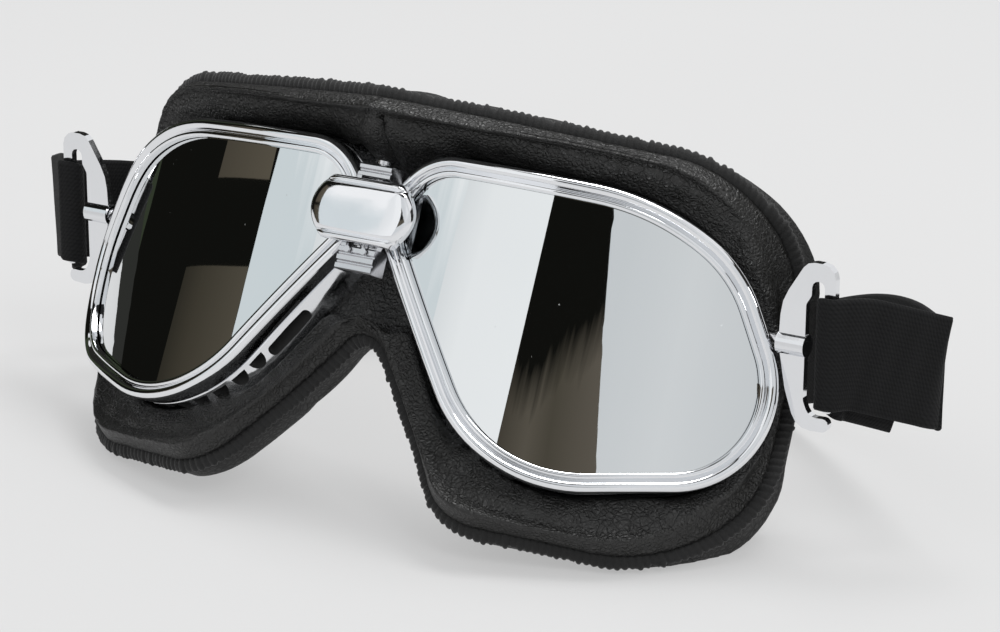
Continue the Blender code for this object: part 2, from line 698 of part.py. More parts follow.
def outrigger(side):
    """The hook plate with its barrel, bored for the pin."""
    outline = rounded_outline(HOOK_OUTLINE, 8.0, 30)
    bm = bmesh.new()
    rings = [[bm.verts.new((side * (HOOK_X + p.x), y, p.y)) for p, _ in outline]
             for y in (-HOOK_THICK / 2, HOOK_THICK / 2)]
    count = len(outline)
    for i in range(count):
        j = (i + 1) % count
        bm.faces.new((rings[0][i], rings[0][j], rings[1][j], rings[1][i]))
    bm.faces.new(rings[0])
    bm.faces.new(rings[1][::-1])
    hook = mesh_object(side_name("outrigger", side), bm, "chrome", sharp=30)
    bm = bmesh.new()
    add_cylinder(bm, BARREL_RADIUS, (side * BARREL_START, 0, 0),
                 (side * (BARREL_START + BARREL_LENGTH), 0, 0))
    boolean(hook, cutter(side_name("barrel", side), bm), "UNION")
    bm = bmesh.new()
    add_cylinder(bm, NECK_RADIUS + SWIVEL_ROOM, (side * (BARREL_START - 1), 0, 0),
                 (side * (BARREL_START + BARREL_LENGTH - BARREL_CAP), 0, 0), 16)
    boolean(hook, cutter(side_name("barrel_bore", side), bm), "DIFFERENCE")
    return hook


def frame_side(height):
    """A point on the lens frame's outer side at this height, and which way it faces."""
    stations = [s for s in rounded_outline(LENS_CORNERS, 2.0, 4) if s[0].x > 60]
    point, normal = min(stations, key=lambda s: abs(s[0].y - height))
    rim = point + normal * BEZEL[8][0]
    angle = (rim.x - WRAP_CENTRE) / WRAP_RADIUS
    facing = Vector((math.cos(angle) * normal.x, math.sin(angle) * normal.x, normal.y))
    return wrap(rim.x, rim.y, 1.0), facing


def outrigger_pin(side):
    """The pin that stands out of the lens frame's side into the barrel."""
    bm = bmesh.new()
    tip = BARREL_START + BARREL_LENGTH - BARREL_CAP - GAP
    add_cylinder(bm, NECK_RADIUS, (PIN_INNER, 0, 0), (tip, 0, 0), 16)
    point, facing = frame_side(BARREL_Z)
    bmesh.ops.bisect_plane(bm, geom=bm.verts[:] + bm.edges[:] + bm.faces[:],
                           plane_co=point + facing * PIN_ROOM - Vector((0, BARREL_Y, BARREL_Z)),
                           plane_no=facing, clear_inner=True)
    bmesh.ops.edgeloop_fill(bm, edges=[e for e in bm.edges if e.is_boundary])
    if side < 0:
        bmesh.ops.scale(bm, vec=(-1, 1, 1), verts=bm.verts)
    return mesh_object(side_name("outrigger_pin", side), bm, "steel")


# Strap

def ribbon(name, stations, side=1):
    """Webbing along (point, up) stations, flat across the path."""
    bm = bmesh.new()
    loops = []
    for i, (point, up) in enumerate(stations):
        before, after = stations[max(i - 1, 0)][0], stations[min(i + 1, len(stations) - 1)][0]
        across = (after - before).cross(up).normalized() * STRAP_THICK / 2
        rise = up.normalized() * STRAP_WIDTH / 2
        corners = (point + across + rise, point + across - rise,
                   point - across - rise, point - across + rise)
        loops.append([bm.verts.new((side * c.x, c.y, c.z)) for c in corners])
    for here, there in zip(loops, loops[1:]):
        for i in range(4):
            j = (i + 1) % 4
            bm.faces.new((here[i], here[j], there[j], there[i]))
    bm.faces.new(loops[0][::-1])
    bm.faces.new(loops[-1])
    return mesh_object(name, bm, "webbing", sharp=50)


def strap_point(run, offset, droop=1.0):
    """(point, up) at this distance from the hook's bar, offset towards the wearer."""
    heading = Vector((math.cos(STRAP_OUT), math.sin(STRAP_OUT), 0))
    square = Vector((-heading.y, heading.x, 0))
    fall = STRAP_DROOP * droop
    share = min(run / 10, 1)
    angle = fall * share
    drop = math.sin(fall) * (run * run / 20 if run < 10 else run - 5)
    bar = Vector((HOOK_X + HOOK_BAR, 0, STRAP_RISE))
    point = bar + heading * run * math.cos(angle) + square * offset - Vector((0, 0, drop))
    return point, (Vector((0, 0, math.cos(angle))) + heading * math.sin(angle))


def strap_loop(side):
    """The strap's end: out of sight behind, through the hook and forward to the fold."""
    bar_x, upright = HOOK_X + HOOK_BAR, Vector((0, 0, 1))
    around = [(1.6, 2.5, 1.0), (0.2, 2.35, 0.9), (-1.3, 2.0, 0.65), (-2.25, 0.9, 0.35),
              (-2.25, -0.9, 0.15), (-1.3, -2.0, 0), (0.2, -2.15, 0), (1.8, -1.6, 0)]
    sunk = Vector((0, 0, TAIL_SINK))
    stations = [(point - sunk, up) for point, up in
                (strap_point(run, TAIL_OFFSET, TAIL_DROOP) for run in (TAIL_RUN, 11.0, 6.5))]
    stations += [(Vector((bar_x + x, y, STRAP_RISE - TAIL_SINK * low)), upright)
                 for x, y, low in around]
    stations += [strap_point(run, LEAD_OFFSET) for run in (6.0, 11.0, 16.0, STRAP_RUN)]
    return ribbon(side_name("strap_loop", side), stations, side)


def strap_back(barrel):
    """The rest of the strap: round both folds and behind the mask, where it stands on its edge."""
    start, up = strap_point(STRAP_RUN + GAP, LEAD_OFFSET)
    start, upright = start + barrel, Vector((0, 0, 1))
    depth, half = STRAP_BACK_Y + REST_FORWARD, STRAP_WIDTH / 2
    centre = start + Vector((-math.sin(STRAP_OUT), math.cos(STRAP_OUT), 0)) * FOLD_RADIUS
    route, folds = [], 6
    for k in range(folds + 1):
        angle = STRAP_OUT + FOLD_TURN * k / folds
        place = centre + Vector((math.sin(angle), -math.cos(angle), 0)) * FOLD_RADIUS
        route.append((place - Vector((0, 0, STRAP_FOLD_SINK * k)), up.lerp(upright, k / folds)))
    home = route[-1][0]
    slope = math.tan(math.pi - STRAP_OUT - FOLD_TURN)
    corner = Vector((home.x - (depth - home.y) / slope, depth, 0))
    count = 14
    for k in range(1, count + 1):
        share = k / count
        place = home * (1 - share) ** 2 + corner * 2 * share * (1 - share)
        place += Vector((0, depth, 0)) * share ** 2
        fall = min(1.0, share * 1.5)
        place.z = home.z + (half - home.z) * fall * fall * (3 - 2 * fall)
        route.append((place, upright))
    route += [(Vector((-p.x, p.y, p.z)), Vector((-u.x, u.y, u.z))) for p, u in route[-2::-1]]
    return ribbon("strap_back", route)


# Assembly

def empty(name, location, rotation=(0, 0, 0)):
    obj = bpy.data.objects.new(name, None)
    obj.empty_display_size = 0.01
    obj.location = location
    obj.rotation_euler = rotation
    PARTS.objects.link(obj)
    return obj


def attach(children, parent):
    """Parents objects drawn in the parent's frame."""
    for child in children:
        child.parent = parent


def attach_at(children, pivot, pivot_in_frame):
    """Parents objects drawn in the frame of the pivot's parent."""
    for child in children:
        child.parent = pivot
        child.matrix_parent_inverse = Matrix.Translation(-Vector(pivot_in_frame))


def build():
    goggles = empty("GOGGLES", (0, REST_FORWARD * MM, REST_HEIGHT * MM), (-LEAN_BACK, 0, 0))
    hinge_place = Vector((0, HINGE_Y * MM, 0))
    hinge = empty("BRIDGE_HINGE", hinge_place)
    hinge.parent = goggles
    lean = Matrix.Rotation(-LEAN_BACK, 3, "X")
    barrel = lean @ Vector((0, BARREL_Y, BARREL_Z)) + Vector((0, REST_FORWARD, REST_HEIGHT))

    ribs = mask_ribs()
    for side in (-1, 1):
        frame = [lens(side), eyecup(side), hinge_leaf(side),
                 frame_ring(side_name("bezel", side), BEZEL, side, "chrome"),
                 frame_ring(side_name("lens_gasket", side), GASKET, side, "rubber")]
        swivel = empty(side_name("SWIVEL", side), barrel * MM)
        pin = outrigger_pin(side)
        attach([outrigger(side), strap_loop(side), pin], swivel)
        if side > 0:
            frame.append(foam_pad(side, ribs))
            attach_at(frame, hinge, hinge_place)
        else:
            attach(frame, goggles)

    attach([skin("leather_mask", ribs, Rib.leather, LEATHER_THICK, -1, "leather"),
            foam_pad(-1, ribs),
            skin("face_lining", ribs, lining_line, LINING_THICK, 1, "lining", flatten_feet),
            welt(ribs), bridge_plate(), hinge_pin(), bridge_screw(-1), bridge_screw(1)], goggles)
    for tool in CUTTERS.objects:
        if any(tool.name.startswith(stem) for stem in ("vents", "knuckle", "tab", "pin_", "top_", "low_")):
            tool.parent = goggles
        else:
            tool.parent = bpy.data.objects[side_name("SWIVEL", 1)]
            if tool.name.endswith("_right"):
                tool.parent = bpy.data.objects[side_name("SWIVEL", -1)]
    strap_back(barrel)


clear_scene()
PARTS = new_collection("motorcycle_goggles")
CUTTERS = new_collection("cutters")
build()
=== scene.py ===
"""Motorcycle goggles: the look of every piece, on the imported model's frame."""
import math

import bmesh
import bpy
import numpy as np
from mathutils import Matrix, Vector, kdtree, noise


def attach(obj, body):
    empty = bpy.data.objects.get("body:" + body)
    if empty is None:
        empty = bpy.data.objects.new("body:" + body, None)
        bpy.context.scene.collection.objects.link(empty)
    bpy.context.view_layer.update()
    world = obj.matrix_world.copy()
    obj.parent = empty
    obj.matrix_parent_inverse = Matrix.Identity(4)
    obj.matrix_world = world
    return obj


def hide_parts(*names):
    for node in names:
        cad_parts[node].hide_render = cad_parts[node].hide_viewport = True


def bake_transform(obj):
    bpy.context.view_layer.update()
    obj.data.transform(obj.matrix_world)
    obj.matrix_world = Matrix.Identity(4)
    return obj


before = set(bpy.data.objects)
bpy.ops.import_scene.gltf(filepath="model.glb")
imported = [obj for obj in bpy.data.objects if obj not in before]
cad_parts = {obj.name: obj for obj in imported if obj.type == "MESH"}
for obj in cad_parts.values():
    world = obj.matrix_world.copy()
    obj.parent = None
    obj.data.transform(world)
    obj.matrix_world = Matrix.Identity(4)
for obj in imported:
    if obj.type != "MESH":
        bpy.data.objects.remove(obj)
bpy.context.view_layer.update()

MM = 0.001
LEAN = Matrix.Rotation(math.radians(-25), 3, "X")
BRIDGE = Vector((0.0, -44.46, 68.6))

# Shape of the lens opening, laid flat: across, up, corner radius
WRAP_RADIUS, WRAP_CENTRE, LENS_THICK = 98.0, 19.0, 1.6
LENS_CORNERS = [(-3.0, 9.1, 11.2), (41.2, -52.3, 31.7), (104.9, -37.0, 18.8),
                (82.2, -0.1, 27.9), (63.6, 9.2, 53.0)]
EYE_CENTRE = (46.0, -17.0)
MASK_TOP = 23.2
SEAM_CORNERS = [(85.3, 23.2, 24.0), (88.4, -63.4, 25.0), (31.4, -64.4, 18.0)]
NOTCH = (0.0, -24.5, 6.0)
SEAM_DEPTH = (5.5, 13.0, 3.8, -14.1, -13.5)
EYE_HOLE, EYE_DEPTH, LEATHER_LIP, NOSE_DROP, MIDDLE_BACK = 6.5, 12.0, 1.3, 5.3, 6.5


def place(p):
    """From the upright goggles, in mm, to where they stand, in metres."""
    return (LEAN @ Vector(p) + BRIDGE) * MM


# Outlines

def corner_arc(before, corner, after):
    point, radius = Vector(corner[:2]), corner[2]
    to_before = (Vector(before[:2]) - point).normalized()
    to_after = (Vector(after[:2]) - point).normalized()
    half = to_before.angle(to_after) / 2
    centre = point + (to_before + to_after).normalized() * radius / math.sin(half)
    start = point + to_before * radius / math.tan(half) - centre
    end = point + to_after * radius / math.tan(half) - centre
    turn = math.atan2(start.x * end.y - start.y * end.x, start.dot(end))
    return centre, radius, math.atan2(start.y, start.x), turn


def arc_stations(before, corner, after, step, angle_step):
    centre, radius, first, turn = corner_arc(before, corner, after)
    count = max(2, math.ceil(abs(turn) / math.radians(angle_step)),
                math.ceil(abs(turn) * radius / step))
    stations = []
    for k in range(count + 1):
        angle = first + turn * k / count
        ray = Vector((math.cos(angle), math.sin(angle)))
        stations.append((centre + ray * radius, ray if turn > 0 else -ray))
    return stations


def fill_straights(stations, step):
    result = []
    for (point, normal), (after, _) in zip(stations, stations[1:] + stations[:1]):
        result.append((point, normal))
        run = after - point
        if run.length > step * 1.5:
            count = round(run.length / step)
            flat = Vector((run.y, -run.x)).normalized()
            result += [(point + run * k / count, flat) for k in range(1, count)]
    return result


def rounded_outline(corners, step=6.0, angle_step=12):
    stations = []
    for i, corner in enumerate(corners):
        stations += arc_stations(corners[i - 1], corner, corners[(i + 1) % len(corners)],
                                 step, angle_step)
    return fill_straights(stations, step)


def wrap(across, up, back, side=1):
    angle = (across - WRAP_CENTRE) / WRAP_RADIUS
    reach = WRAP_RADIUS - back
    return Vector((side * (WRAP_CENTRE + reach * math.sin(angle)),
                   WRAP_RADIUS - reach * math.cos(angle), up))


def wrap_back(side_x):
    angle = (side_x - WRAP_CENTRE) / WRAP_RADIUS
    return Vector((-math.sin(angle), math.cos(angle), 0))


def smooth_line(points, samples, closed=False):
    """Catmull-Rom through the points."""
    pts = [Vector(p) for p in points]
    count = len(pts)
    out = []
    spans = count if closed else count - 1
    for i in range(spans):
        a = pts[(i - 1) % count] if closed or i > 0 else pts[0] * 2 - pts[1]
        b, c = pts[i], pts[(i + 1) % count]
        d = pts[(i + 2) % count] if closed or i + 2 < count else pts[-1] * 2 - pts[-2]
        for k in range(samples):
            t = k / samples
            out.append(0.5 * ((2 * b) + (c - a) * t + (2 * a - 5 * b + 4 * c - d) * t * t
                              + (3 * b - a - 3 * c + d) * t ** 3))
    if not closed:
        out.append(pts[-1])
    return out


# Making pieces

def piece(name, verts, faces, mat, body=None, replaces=(), local=True, sharp=None,
          uv=None):
    mesh = bpy.data.meshes.new(name)
    mesh.from_pydata([place(v) if local else Vector(v) * MM for v in verts], [], faces)
    mesh.update()
    if uv:
        layer = mesh.uv_layers.new(name="UVMap")
        for loop in mesh.loops:
            layer.data[loop.index].uv = uv[loop.vertex_index]
    bm = bmesh.new()
    bm.from_mesh(mesh)
    bmesh.ops.recalc_face_normals(bm, faces=bm.faces)
    bm.to_mesh(mesh)
    bm.free()
    mesh.shade_smooth()
    if sharp:
        mesh.set_sharp_from_angle(angle=math.radians(sharp))
    obj = bpy.data.objects.new(name, mesh)
    bpy.context.scene.collection.objects.link(obj)
    mesh.materials.append(mat)
    if body:
        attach(obj, body)
    if replaces:
        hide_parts(*replaces)
    return obj


def grid_faces(rows, columns, close_rows=False, close_columns=False):
    faces = []
    for i in range(rows if close_rows else rows - 1):
        for j in range(columns if close_columns else columns - 1):
            a, b = i * columns + j, i * columns + (j + 1) % columns
            c = (i + 1) % rows * columns + (j + 1) % columns
            d = (i + 1) % rows * columns + j
            faces.append((a, b, c, d))
    return faces


def side_name(stem, side):
    return stem + ("_left" if side > 0 else "_right")


def frame_body(side):
    return "frame_left" if side > 0 else "frame_right"


# Materials

class Nodes:
    def __init__(self, name):
        self.mat = bpy.data.materials.new(name)
        self.mat.use_nodes = True
        self.tree = self.mat.node_tree
        self.shader = self.tree.nodes["Principled BSDF"]

    def add(self, kind, **inputs):
        node = self.tree.nodes.new(kind)
        for key, value in inputs.items():
            name = key.replace("_", " ")
            if name in node.inputs:
                if hasattr(value, "is_output"):
                    self.tree.links.new(value, node.inputs[name])
                else:
                    node.inputs[name].default_value = value
            else:
                setattr(node, key, value)
        return node

    def link(self, a, b):
        self.tree.links.new(a, b)

    def set(self, **values):
        for key, value in values.items():
            socket = self.shader.inputs[key.replace("_", " ")]
            if hasattr(value, "is_output"):
                self.link(value, socket)
            else:
                socket.default_value = value

    def place(self, scale=1.0):
        coords = self.add("ShaderNodeTexCoord")
        mapping = self.add("ShaderNodeMapping", Vector=coords.outputs["Object"])
        mapping.inputs["Scale"].default_value = (
            (scale,) * 3 if isinstance(scale, (int, float)) else scale)
        return mapping.outputs[0]

    def ramp(self, value, stops):
        node = self.add("ShaderNodeValToRGB", Fac=value)
        ramp = node.color_ramp
        while len(ramp.elements) < len(stops):
            ramp.elements.new(0.5)
        for element, (position, colour) in zip(ramp.elements, stops):
            element.position = position
            element.color = (*colour, 1) if len(colour) == 3 else colour
        return node.outputs["Color"]

    def value(self, source, low, high, to_low, to_high):
        node = self.add("ShaderNodeMapRange", Value=source)
        for i, v in enumerate((low, high, to_low, to_high)):
            node.inputs[i + 1].default_value = v
        return node.outputs[0]

    def math(self, operation, a, b=0.5, c=0.5):
        node = self.tree.nodes.new("ShaderNodeMath")
        node.operation = operation
        for i, v in enumerate((a, b, c)):
            if hasattr(v, "is_output"):
                self.link(v, node.inputs[i])
            else:
                node.inputs[i].default_value = v
        return node.outputs[0]

    def bump(self, height, strength, distance, normal=None):
        node = self.add("ShaderNodeBump", Height=height)
        node.inputs["Strength"].default_value = strength
        node.inputs["Distance"].default_value = distance
        if normal:
            self.link(normal, node.inputs["Normal"])
        return node.outputs[0]


def chrome(name, tint=(0.87, 0.88, 0.90), rough=0.035, haze=0.05):
    n = Nodes(name)
    at = n.place(1.0)
    smear = n.add("ShaderNodeTexNoise", Vector=at, Scale=90.0, Detail=4.0)
    wave = n.add("ShaderNodeTexNoise", Vector=at, Scale=260.0, Detail=1.0)
    n.set(Base_Color=n.ramp(smear.outputs["Fac"], [(0.3, [c * 0.97 for c in tint]), (0.7, tint)]),
          Metallic=1.0, Roughness=n.value(smear.outputs["Fac"], 0.35, 0.75, rough, rough + haze),
          Normal=n.bump(wave.outputs["Fac"], 0.04, 0.0004))
    return n.mat


def mirror(name):
    """Silvered lens: almost no roughness, a cool tint, a few specks of dust."""
    n = Nodes(name)
    at = n.place(1.0)
    cloud = n.add("ShaderNodeTexNoise", Vector=at, Scale=22.0, Detail=3.0)
    dust = n.add("ShaderNodeTexVoronoi", Vector=at, Scale=190.0)
    specks = n.value(dust.outputs["Distance"], 0.03, 0.05, 1.0, 0.0)
    silver = n.ramp(cloud.outputs["Fac"], [(0.3, (0.79, 0.815, 0.825)), (0.7, (0.81, 0.83, 0.84))])
    n.set(Base_Color=silver,
          Metallic=1.0, Roughness=n.math("ADD", n.math("MULTIPLY", specks, 0.25), 0.012),
          Coat_Weight=0.3, Coat_Roughness=0.01)
    return n.mat


def leather(name, colour=(0.0100, 0.0098, 0.0091), grain=1.0, gloss=0.32, cell=950.0):
    """Black leather: pebbled grain with creases, worn smoother on top, with painted shade darkening
    the pores and creases.
    """
    n = Nodes(name)
    at = n.place(1.0)
    warp = n.add("ShaderNodeTexNoise", Vector=at, Scale=210.0, Detail=3.0)
    moved = n.add("ShaderNodeVectorMath", operation="MULTIPLY_ADD")
    n.link(warp.outputs["Color"], moved.inputs[0])
    moved.inputs[1].default_value = (0.0022,) * 3
    n.link(at, moved.inputs[2])
    cells = n.add("ShaderNodeTexVoronoi", Vector=moved.outputs[0], Scale=cell)
    cells.feature = "DISTANCE_TO_EDGE"
    creases = n.add("ShaderNodeTexVoronoi", Vector=moved.outputs[0], Scale=cell * 0.42)
    creases.feature = "DISTANCE_TO_EDGE"
    fine = n.add("ShaderNodeTexNoise", Vector=at, Scale=2400.0, Detail=4.0)
    broad = n.add("ShaderNodeTexNoise", Vector=at, Scale=60.0, Detail=4.0)
    pebble = n.value(cells.outputs["Distance"], 0.0, 0.30, 0.0, 1.0)
    depth = n.value(broad.outputs["Fac"], 0.35, 0.65, 0.15, 0.85)
    crease = n.value(creases.outputs["Distance"], 0.0, 0.05, 0.0, 1.0)
    deep = n.math("SUBTRACT", 1.0, n.math("MULTIPLY", n.math("SUBTRACT", 1.0, crease), depth))
    height = n.math("ADD", n.math("MULTIPLY", pebble, 0.5), n.math("MULTIPLY", deep, 0.6))
    bumped = n.bump(height, 0.85 * grain, 0.00036)
    bumped = n.bump(fine.outputs["Fac"], 0.35 * grain, 0.00012, bumped)
    # Painted shade: the base colour falls to a third of itself in the pores and creases, where the
    # height is low.
    n.set(Base_Color=n.ramp(height, [(0.25, [c * 0.35 for c in colour]), (1.0, colour)]),
          Roughness=n.value(height, 0.3, 1.1, gloss + 0.28, gloss), Specular_IOR_Level=0.5,
          Normal=bumped)
    return n.mat


def cloth_look(name, colour=(0.0085, 0.0085, 0.009), rough=0.82, sheen=0.12, scale=2400.0):
    n = Nodes(name)
    at = n.place(1.0)
    fuzz = n.add("ShaderNodeTexNoise", Vector=at, Scale=scale, Detail=4.0)
    tone = n.add("ShaderNodeTexNoise", Vector=at, Scale=70.0, Detail=2.0)
    n.set(Base_Color=n.ramp(tone.outputs["Fac"], [(0.3, [c * 0.7 for c in colour]), (0.7, colour)]),
          Roughness=rough, Specular_IOR_Level=0.3, Sheen_Weight=sheen, Sheen_Roughness=0.5,
          Normal=n.bump(fuzz.outputs["Fac"], 0.5, 0.0003))
    return n.mat


def webbing(name):
    """Woven elastic: fine ribs across, offset stitches along, bound edges. UVs are in mm."""
    n = Nodes(name)
    coords = n.add("ShaderNodeUVMap")
    coords.uv_map = "UVMap"
    apart = n.add("ShaderNodeSeparateXYZ", Vector=coords.outputs[0])
    along, across = apart.outputs[0], apart.outputs[1]
    tau = 2 * math.pi
    # Rubber ribs run along the strap; the yarn leans over them like a twill
    rib = n.math("ABSOLUTE", n.math("SINE", n.math("MULTIPLY", across, math.pi / 0.95)))
    wander = n.add("ShaderNodeTexNoise", Vector=n.place(1.0), Scale=420.0, Detail=2.0)
    lean = n.math("ADD", n.math("MULTIPLY", across, 0.62),
                  n.math("MULTIPLY", wander.outputs["Fac"], 0.7))
    yarn = n.math("MULTIPLY", n.math("ADD", along, lean), math.pi / 0.8)
    yarn = n.math("ABSOLUTE", n.math("SINE", yarn))
    fuzz = n.add("ShaderNodeTexNoise", Vector=n.place(1.0), Scale=2600.0, Detail=3.0)
    weave = n.math("ADD", n.math("MULTIPLY", yarn, 0.5), n.math("MULTIPLY", rib, 0.35))
    weave = n.math("ADD", weave, n.math("MULTIPLY", fuzz.outputs["Fac"], 0.5))
    slack = n.math("MULTIPLY", n.math("SINE", n.math("MULTIPLY", along, tau / 6.5)), 0.06)
    weave = n.math("ADD", weave, slack)
    tone = n.value(weave, 0.25, 1.15, 0.0, 1.0)
    n.set(Base_Color=n.ramp(tone, [(0.0, (0.0022, 0.0022, 0.0024)), (1.0, (0.0105, 0.0105, 0.011))]),
          Roughness=0.9, Specular_IOR_Level=0.2, Sheen_Weight=0.05, Sheen_Roughness=0.4,
          Normal=n.bump(weave, 0.7, 0.0002))
    return n.mat


# Lenses and their frames

def ring(name, section, side, mat, replaces, step=2.0, angle_step=4, sharp=28, flare=0):
    """A ring of one section round the lens opening. It may flare out beside the nose."""
    verts, count = [], len(section)
    outline = rounded_outline(LENS_CORNERS, step, angle_step)
    for point, normal in outline:
        nose = flare * max(0.0, min(1.0, -2.2 * normal.x - 0.3))
        verts += [wrap(*(point + normal * (out + nose * max(0, min(1, (back - 3.4) / 4.6))
                                           * (out > 3.9))), back, side)
                  for out, back in section]
    return piece(name, verts, grid_faces(len(outline), count, True, True), mat,
                 frame_body(side), replaces, sharp=sharp)


def lens(side, mat):
    bm = bmesh.new()
    rim = [p + n * 1.2 for p, n in rounded_outline(LENS_CORNERS, 1.5, 3)]
    bm.faces.new([bm.verts.new((p.x, 0, p.y)) for p in rim])
    left, right = min(p.x for p in rim), max(p.x for p in rim)
    strips = 96
    for k in range(1, strips):
        bmesh.ops.bisect_plane(bm, geom=bm.verts[:] + bm.edges[:] + bm.faces[:],
                               plane_co=(left + (right - left) * k / strips, 0, 0),
                               plane_no=(1, 0, 0))
    made = bmesh.ops.extrude_face_region(bm, geom=bm.faces[:], use_keep_orig=True)
    for item in made["geom"]:
        if isinstance(item, bmesh.types.BMVert):
            item.co.y = LENS_THICK
    bm.verts.index_update()
    verts = [wrap(v.co.x, v.co.z, v.co.y, side) for v in bm.verts]
    faces = [[v.index for v in f.verts] for f in bm.faces]
    bm.free()
    name = side_name("lens", side)
    return piece(name + "_mirror", verts, faces, mat, frame_body(side), (name,), sharp=40)


def section_curve(points, samples=3):
    return [tuple(p) for p in smooth_line([Vector((a, b, 0)) for a, b in points], samples)]


BEZEL_FRONT = [(0.0, -0.9), (0.08, -1.5), (0.5, -1.75), (0.95, -1.72), (1.3, -1.45), (1.5, -1.25),
               (1.75, -1.5), (2.15, -2.05), (2.7, -2.35), (3.25, -2.32), (3.8, -1.95),
               (4.15, -1.4), (4.3, -0.7)]
BEZEL = ([(0.0, -0.3)] + [p[:2] for p in section_curve(BEZEL_FRONT, 2)]
         + [(4.3, 1.2), (4.3, 3.0), (3.3, 3.0), (3.3, -0.3)])
EYECUP = [(0.8, 2.0), (3.0, 2.0), (3.0, 3.4), (4.0, 3.4), (4.3, 3.6), (4.45, 5.0), (4.55, 6.5),
          (4.7, 8.0), (4.9, 9.6), (5.2, 10.0), (5.75, 10.2), (5.9, 10.45), (5.9, 11.1),
          (5.6, 11.4), (3.8, 11.4), (3.1, 4.6), (0.8, 3.4)]
# Vents beside the nose: how far along that side, how deep, and then length and width
VENT_SLOTS = [(27.5, 5.5, 13.5, 2.1), (54.0, 7.7, 11.0, 1.6)]
VENT_ARCHES = [37.5, 42.7, 47.9, 53.1, 58.3, 63.5]
ARCH_LENGTH, ARCH_RISE, ARCH_DEPTH = 4.3, 2.2, 4.0


def along_nose_side(distance):
    outline = rounded_outline(LENS_CORNERS, 2.0, 4)
    start = min(range(len(outline)), key=lambda i: outline[i][0].x + 0.2 * outline[i][0].y)
    travelled = 0.0
    for k in range(len(outline)):
        here, there = (outline[(start + k + j) % len(outline)] for j in (0, 1))
        run = there[0] - here[0]
        if travelled + run.length >= distance:
            return here[0] + run * (distance - travelled) / run.length, run.normalized(), here[1]
        travelled += run.length
    return here[0], run.normalized(), here[1]


def vent_cutter(side, mat):
    verts, faces = [], []

    def prism(distance, outline):
        point, along, outward = along_nose_side(distance)
        base, count = len(verts), len(outline)
        for reach in (1.5, 11.0):
            verts.extend(wrap(*(point + along * a + outward * reach), back, side)
                         for a, back in outline)
        faces.append(list(range(base, base + count)))
        faces.append(list(range(base + 2 * count - 1, base + count - 1, -1)))
        for i in range(count):
            j = (i + 1) % count
            faces.append((base + i, base + j, base + count + j, base + count + i))

    for distance, depth, length, width in VENT_SLOTS:
        half, radius = length / 2 - width / 2, width / 2
        prism(distance, [(e * half + radius * math.cos(a), depth + radius * math.sin(a))
                         for e, first in ((1, -90), (-1, 90))
                         for a in (math.radians(first + 22.5 * k) for k in range(9))])
    for distance in VENT_ARCHES:
        if abs(distance - VENT_SLOTS[0][0]) > VENT_SLOTS[0][2] / 2 + 3:
            prism(distance, [(-ARCH_LENGTH / 2, ARCH_DEPTH), (ARCH_LENGTH / 2, ARCH_DEPTH)]
                  + [(ARCH_LENGTH / 2 * math.cos(a), ARCH_DEPTH + ARCH_RISE * math.sin(a))
                     for a in (math.radians(22.5 * k) for k in range(1, 8))])
    mesh = bpy.data.meshes.new("vents")
    mesh.from_pydata([place(v) for v in verts], [], faces)
    bm = bmesh.new()
    bm.from_mesh(mesh)
    bmesh.ops.recalc_face_normals(bm, faces=bm.faces)
    bm.to_mesh(mesh)
    bm.free()
    # The vent walls take this material from the cut: painted shade.
    mesh.materials.append(mat)
    obj = bpy.data.objects.new("vents", mesh)
    bpy.context.scene.collection.objects.link(obj)
    return obj


def apply_modifiers(obj):
    depsgraph = bpy.context.evaluated_depsgraph_get()
    mesh = bpy.data.meshes.new_from_object(obj.evaluated_get(depsgraph))
    obj.modifiers.clear()
    obj.data = mesh


def eyecup(side, mat, vent_shade):
    name = side_name("eyecup", side)
    obj = ring(name + "_shell", EYECUP, side, mat, (name,), sharp=25, flare=3.6)
    # The cutter carries the dark gasket rubber, and the boolean transfers it onto the vent walls as
    # painted shade inside the slots.
    tool = vent_cutter(side, vent_shade)
    mod = obj.modifiers.new("vents", "BOOLEAN")
    mod.operation, mod.solver, mod.object = "DIFFERENCE", "EXACT", tool
    mod.material_mode = "TRANSFER"
    apply_modifiers(obj)
    obj.data.set_sharp_from_angle(angle=math.radians(25))
    bpy.data.objects.remove(tool, do_unlink=True)
    return obj


# Mask

def seam_depth(x, z):
    level, across, across2, up, up2 = SEAM_DEPTH
    a, q = abs(x) / 50, z / 40
    return level + across * a + across2 * a * a + up * q + up2 * q * q


def seam_path(step):
    start, last = (0.0, MASK_TOP), SEAM_CORNERS[-1]
    corners = [start] + SEAM_CORNERS + [NOTCH]
    stations = [(Vector(start), Vector((0, 1)))]
    for i in range(1, len(corners) - 1):
        stations += [(p, -n) for p, n in arc_stations(corners[i - 1], corners[i], corners[i + 1],
                                                     step, 18)]
    arc = arc_stations(last, NOTCH, (-last[0], last[1]), min(step, 2.5), 20)
    stations += [(p, -n) for p, n in arc if p.x > -0.01]
    filled = []
    for (here, normal), (there, _) in zip(stations, stations[1:]):
        filled.append((here, normal))
        run = there - here
        if run.length > step * 1.4:
            count = round(run.length / step)
            flat = Vector((-run.y, run.x)).normalized()
            filled += [(here + run * k / count, flat) for k in range(1, count)]
    filled.append((Vector((0, stations[-1][0].y)), Vector((0, -1))))
    return filled


def middle_rise(z):
    share = min(max((z - 5) / 16, 0), 1)
    return share * share * (3 - 2 * share)


def middle_depth(z):
    low = min(max((-16 - z) / 9, 0), 1)
    level = EYE_DEPTH + (seam_depth(0, z) + 1.2 - EYE_DEPTH) * low
    return level + (seam_depth(0, MASK_TOP) + 1 - EYE_DEPTH) * middle_rise(z)


EDGE = [p + n * EYE_HOLE for p, n in rounded_outline(LENS_CORNERS, 1.0, 2)]


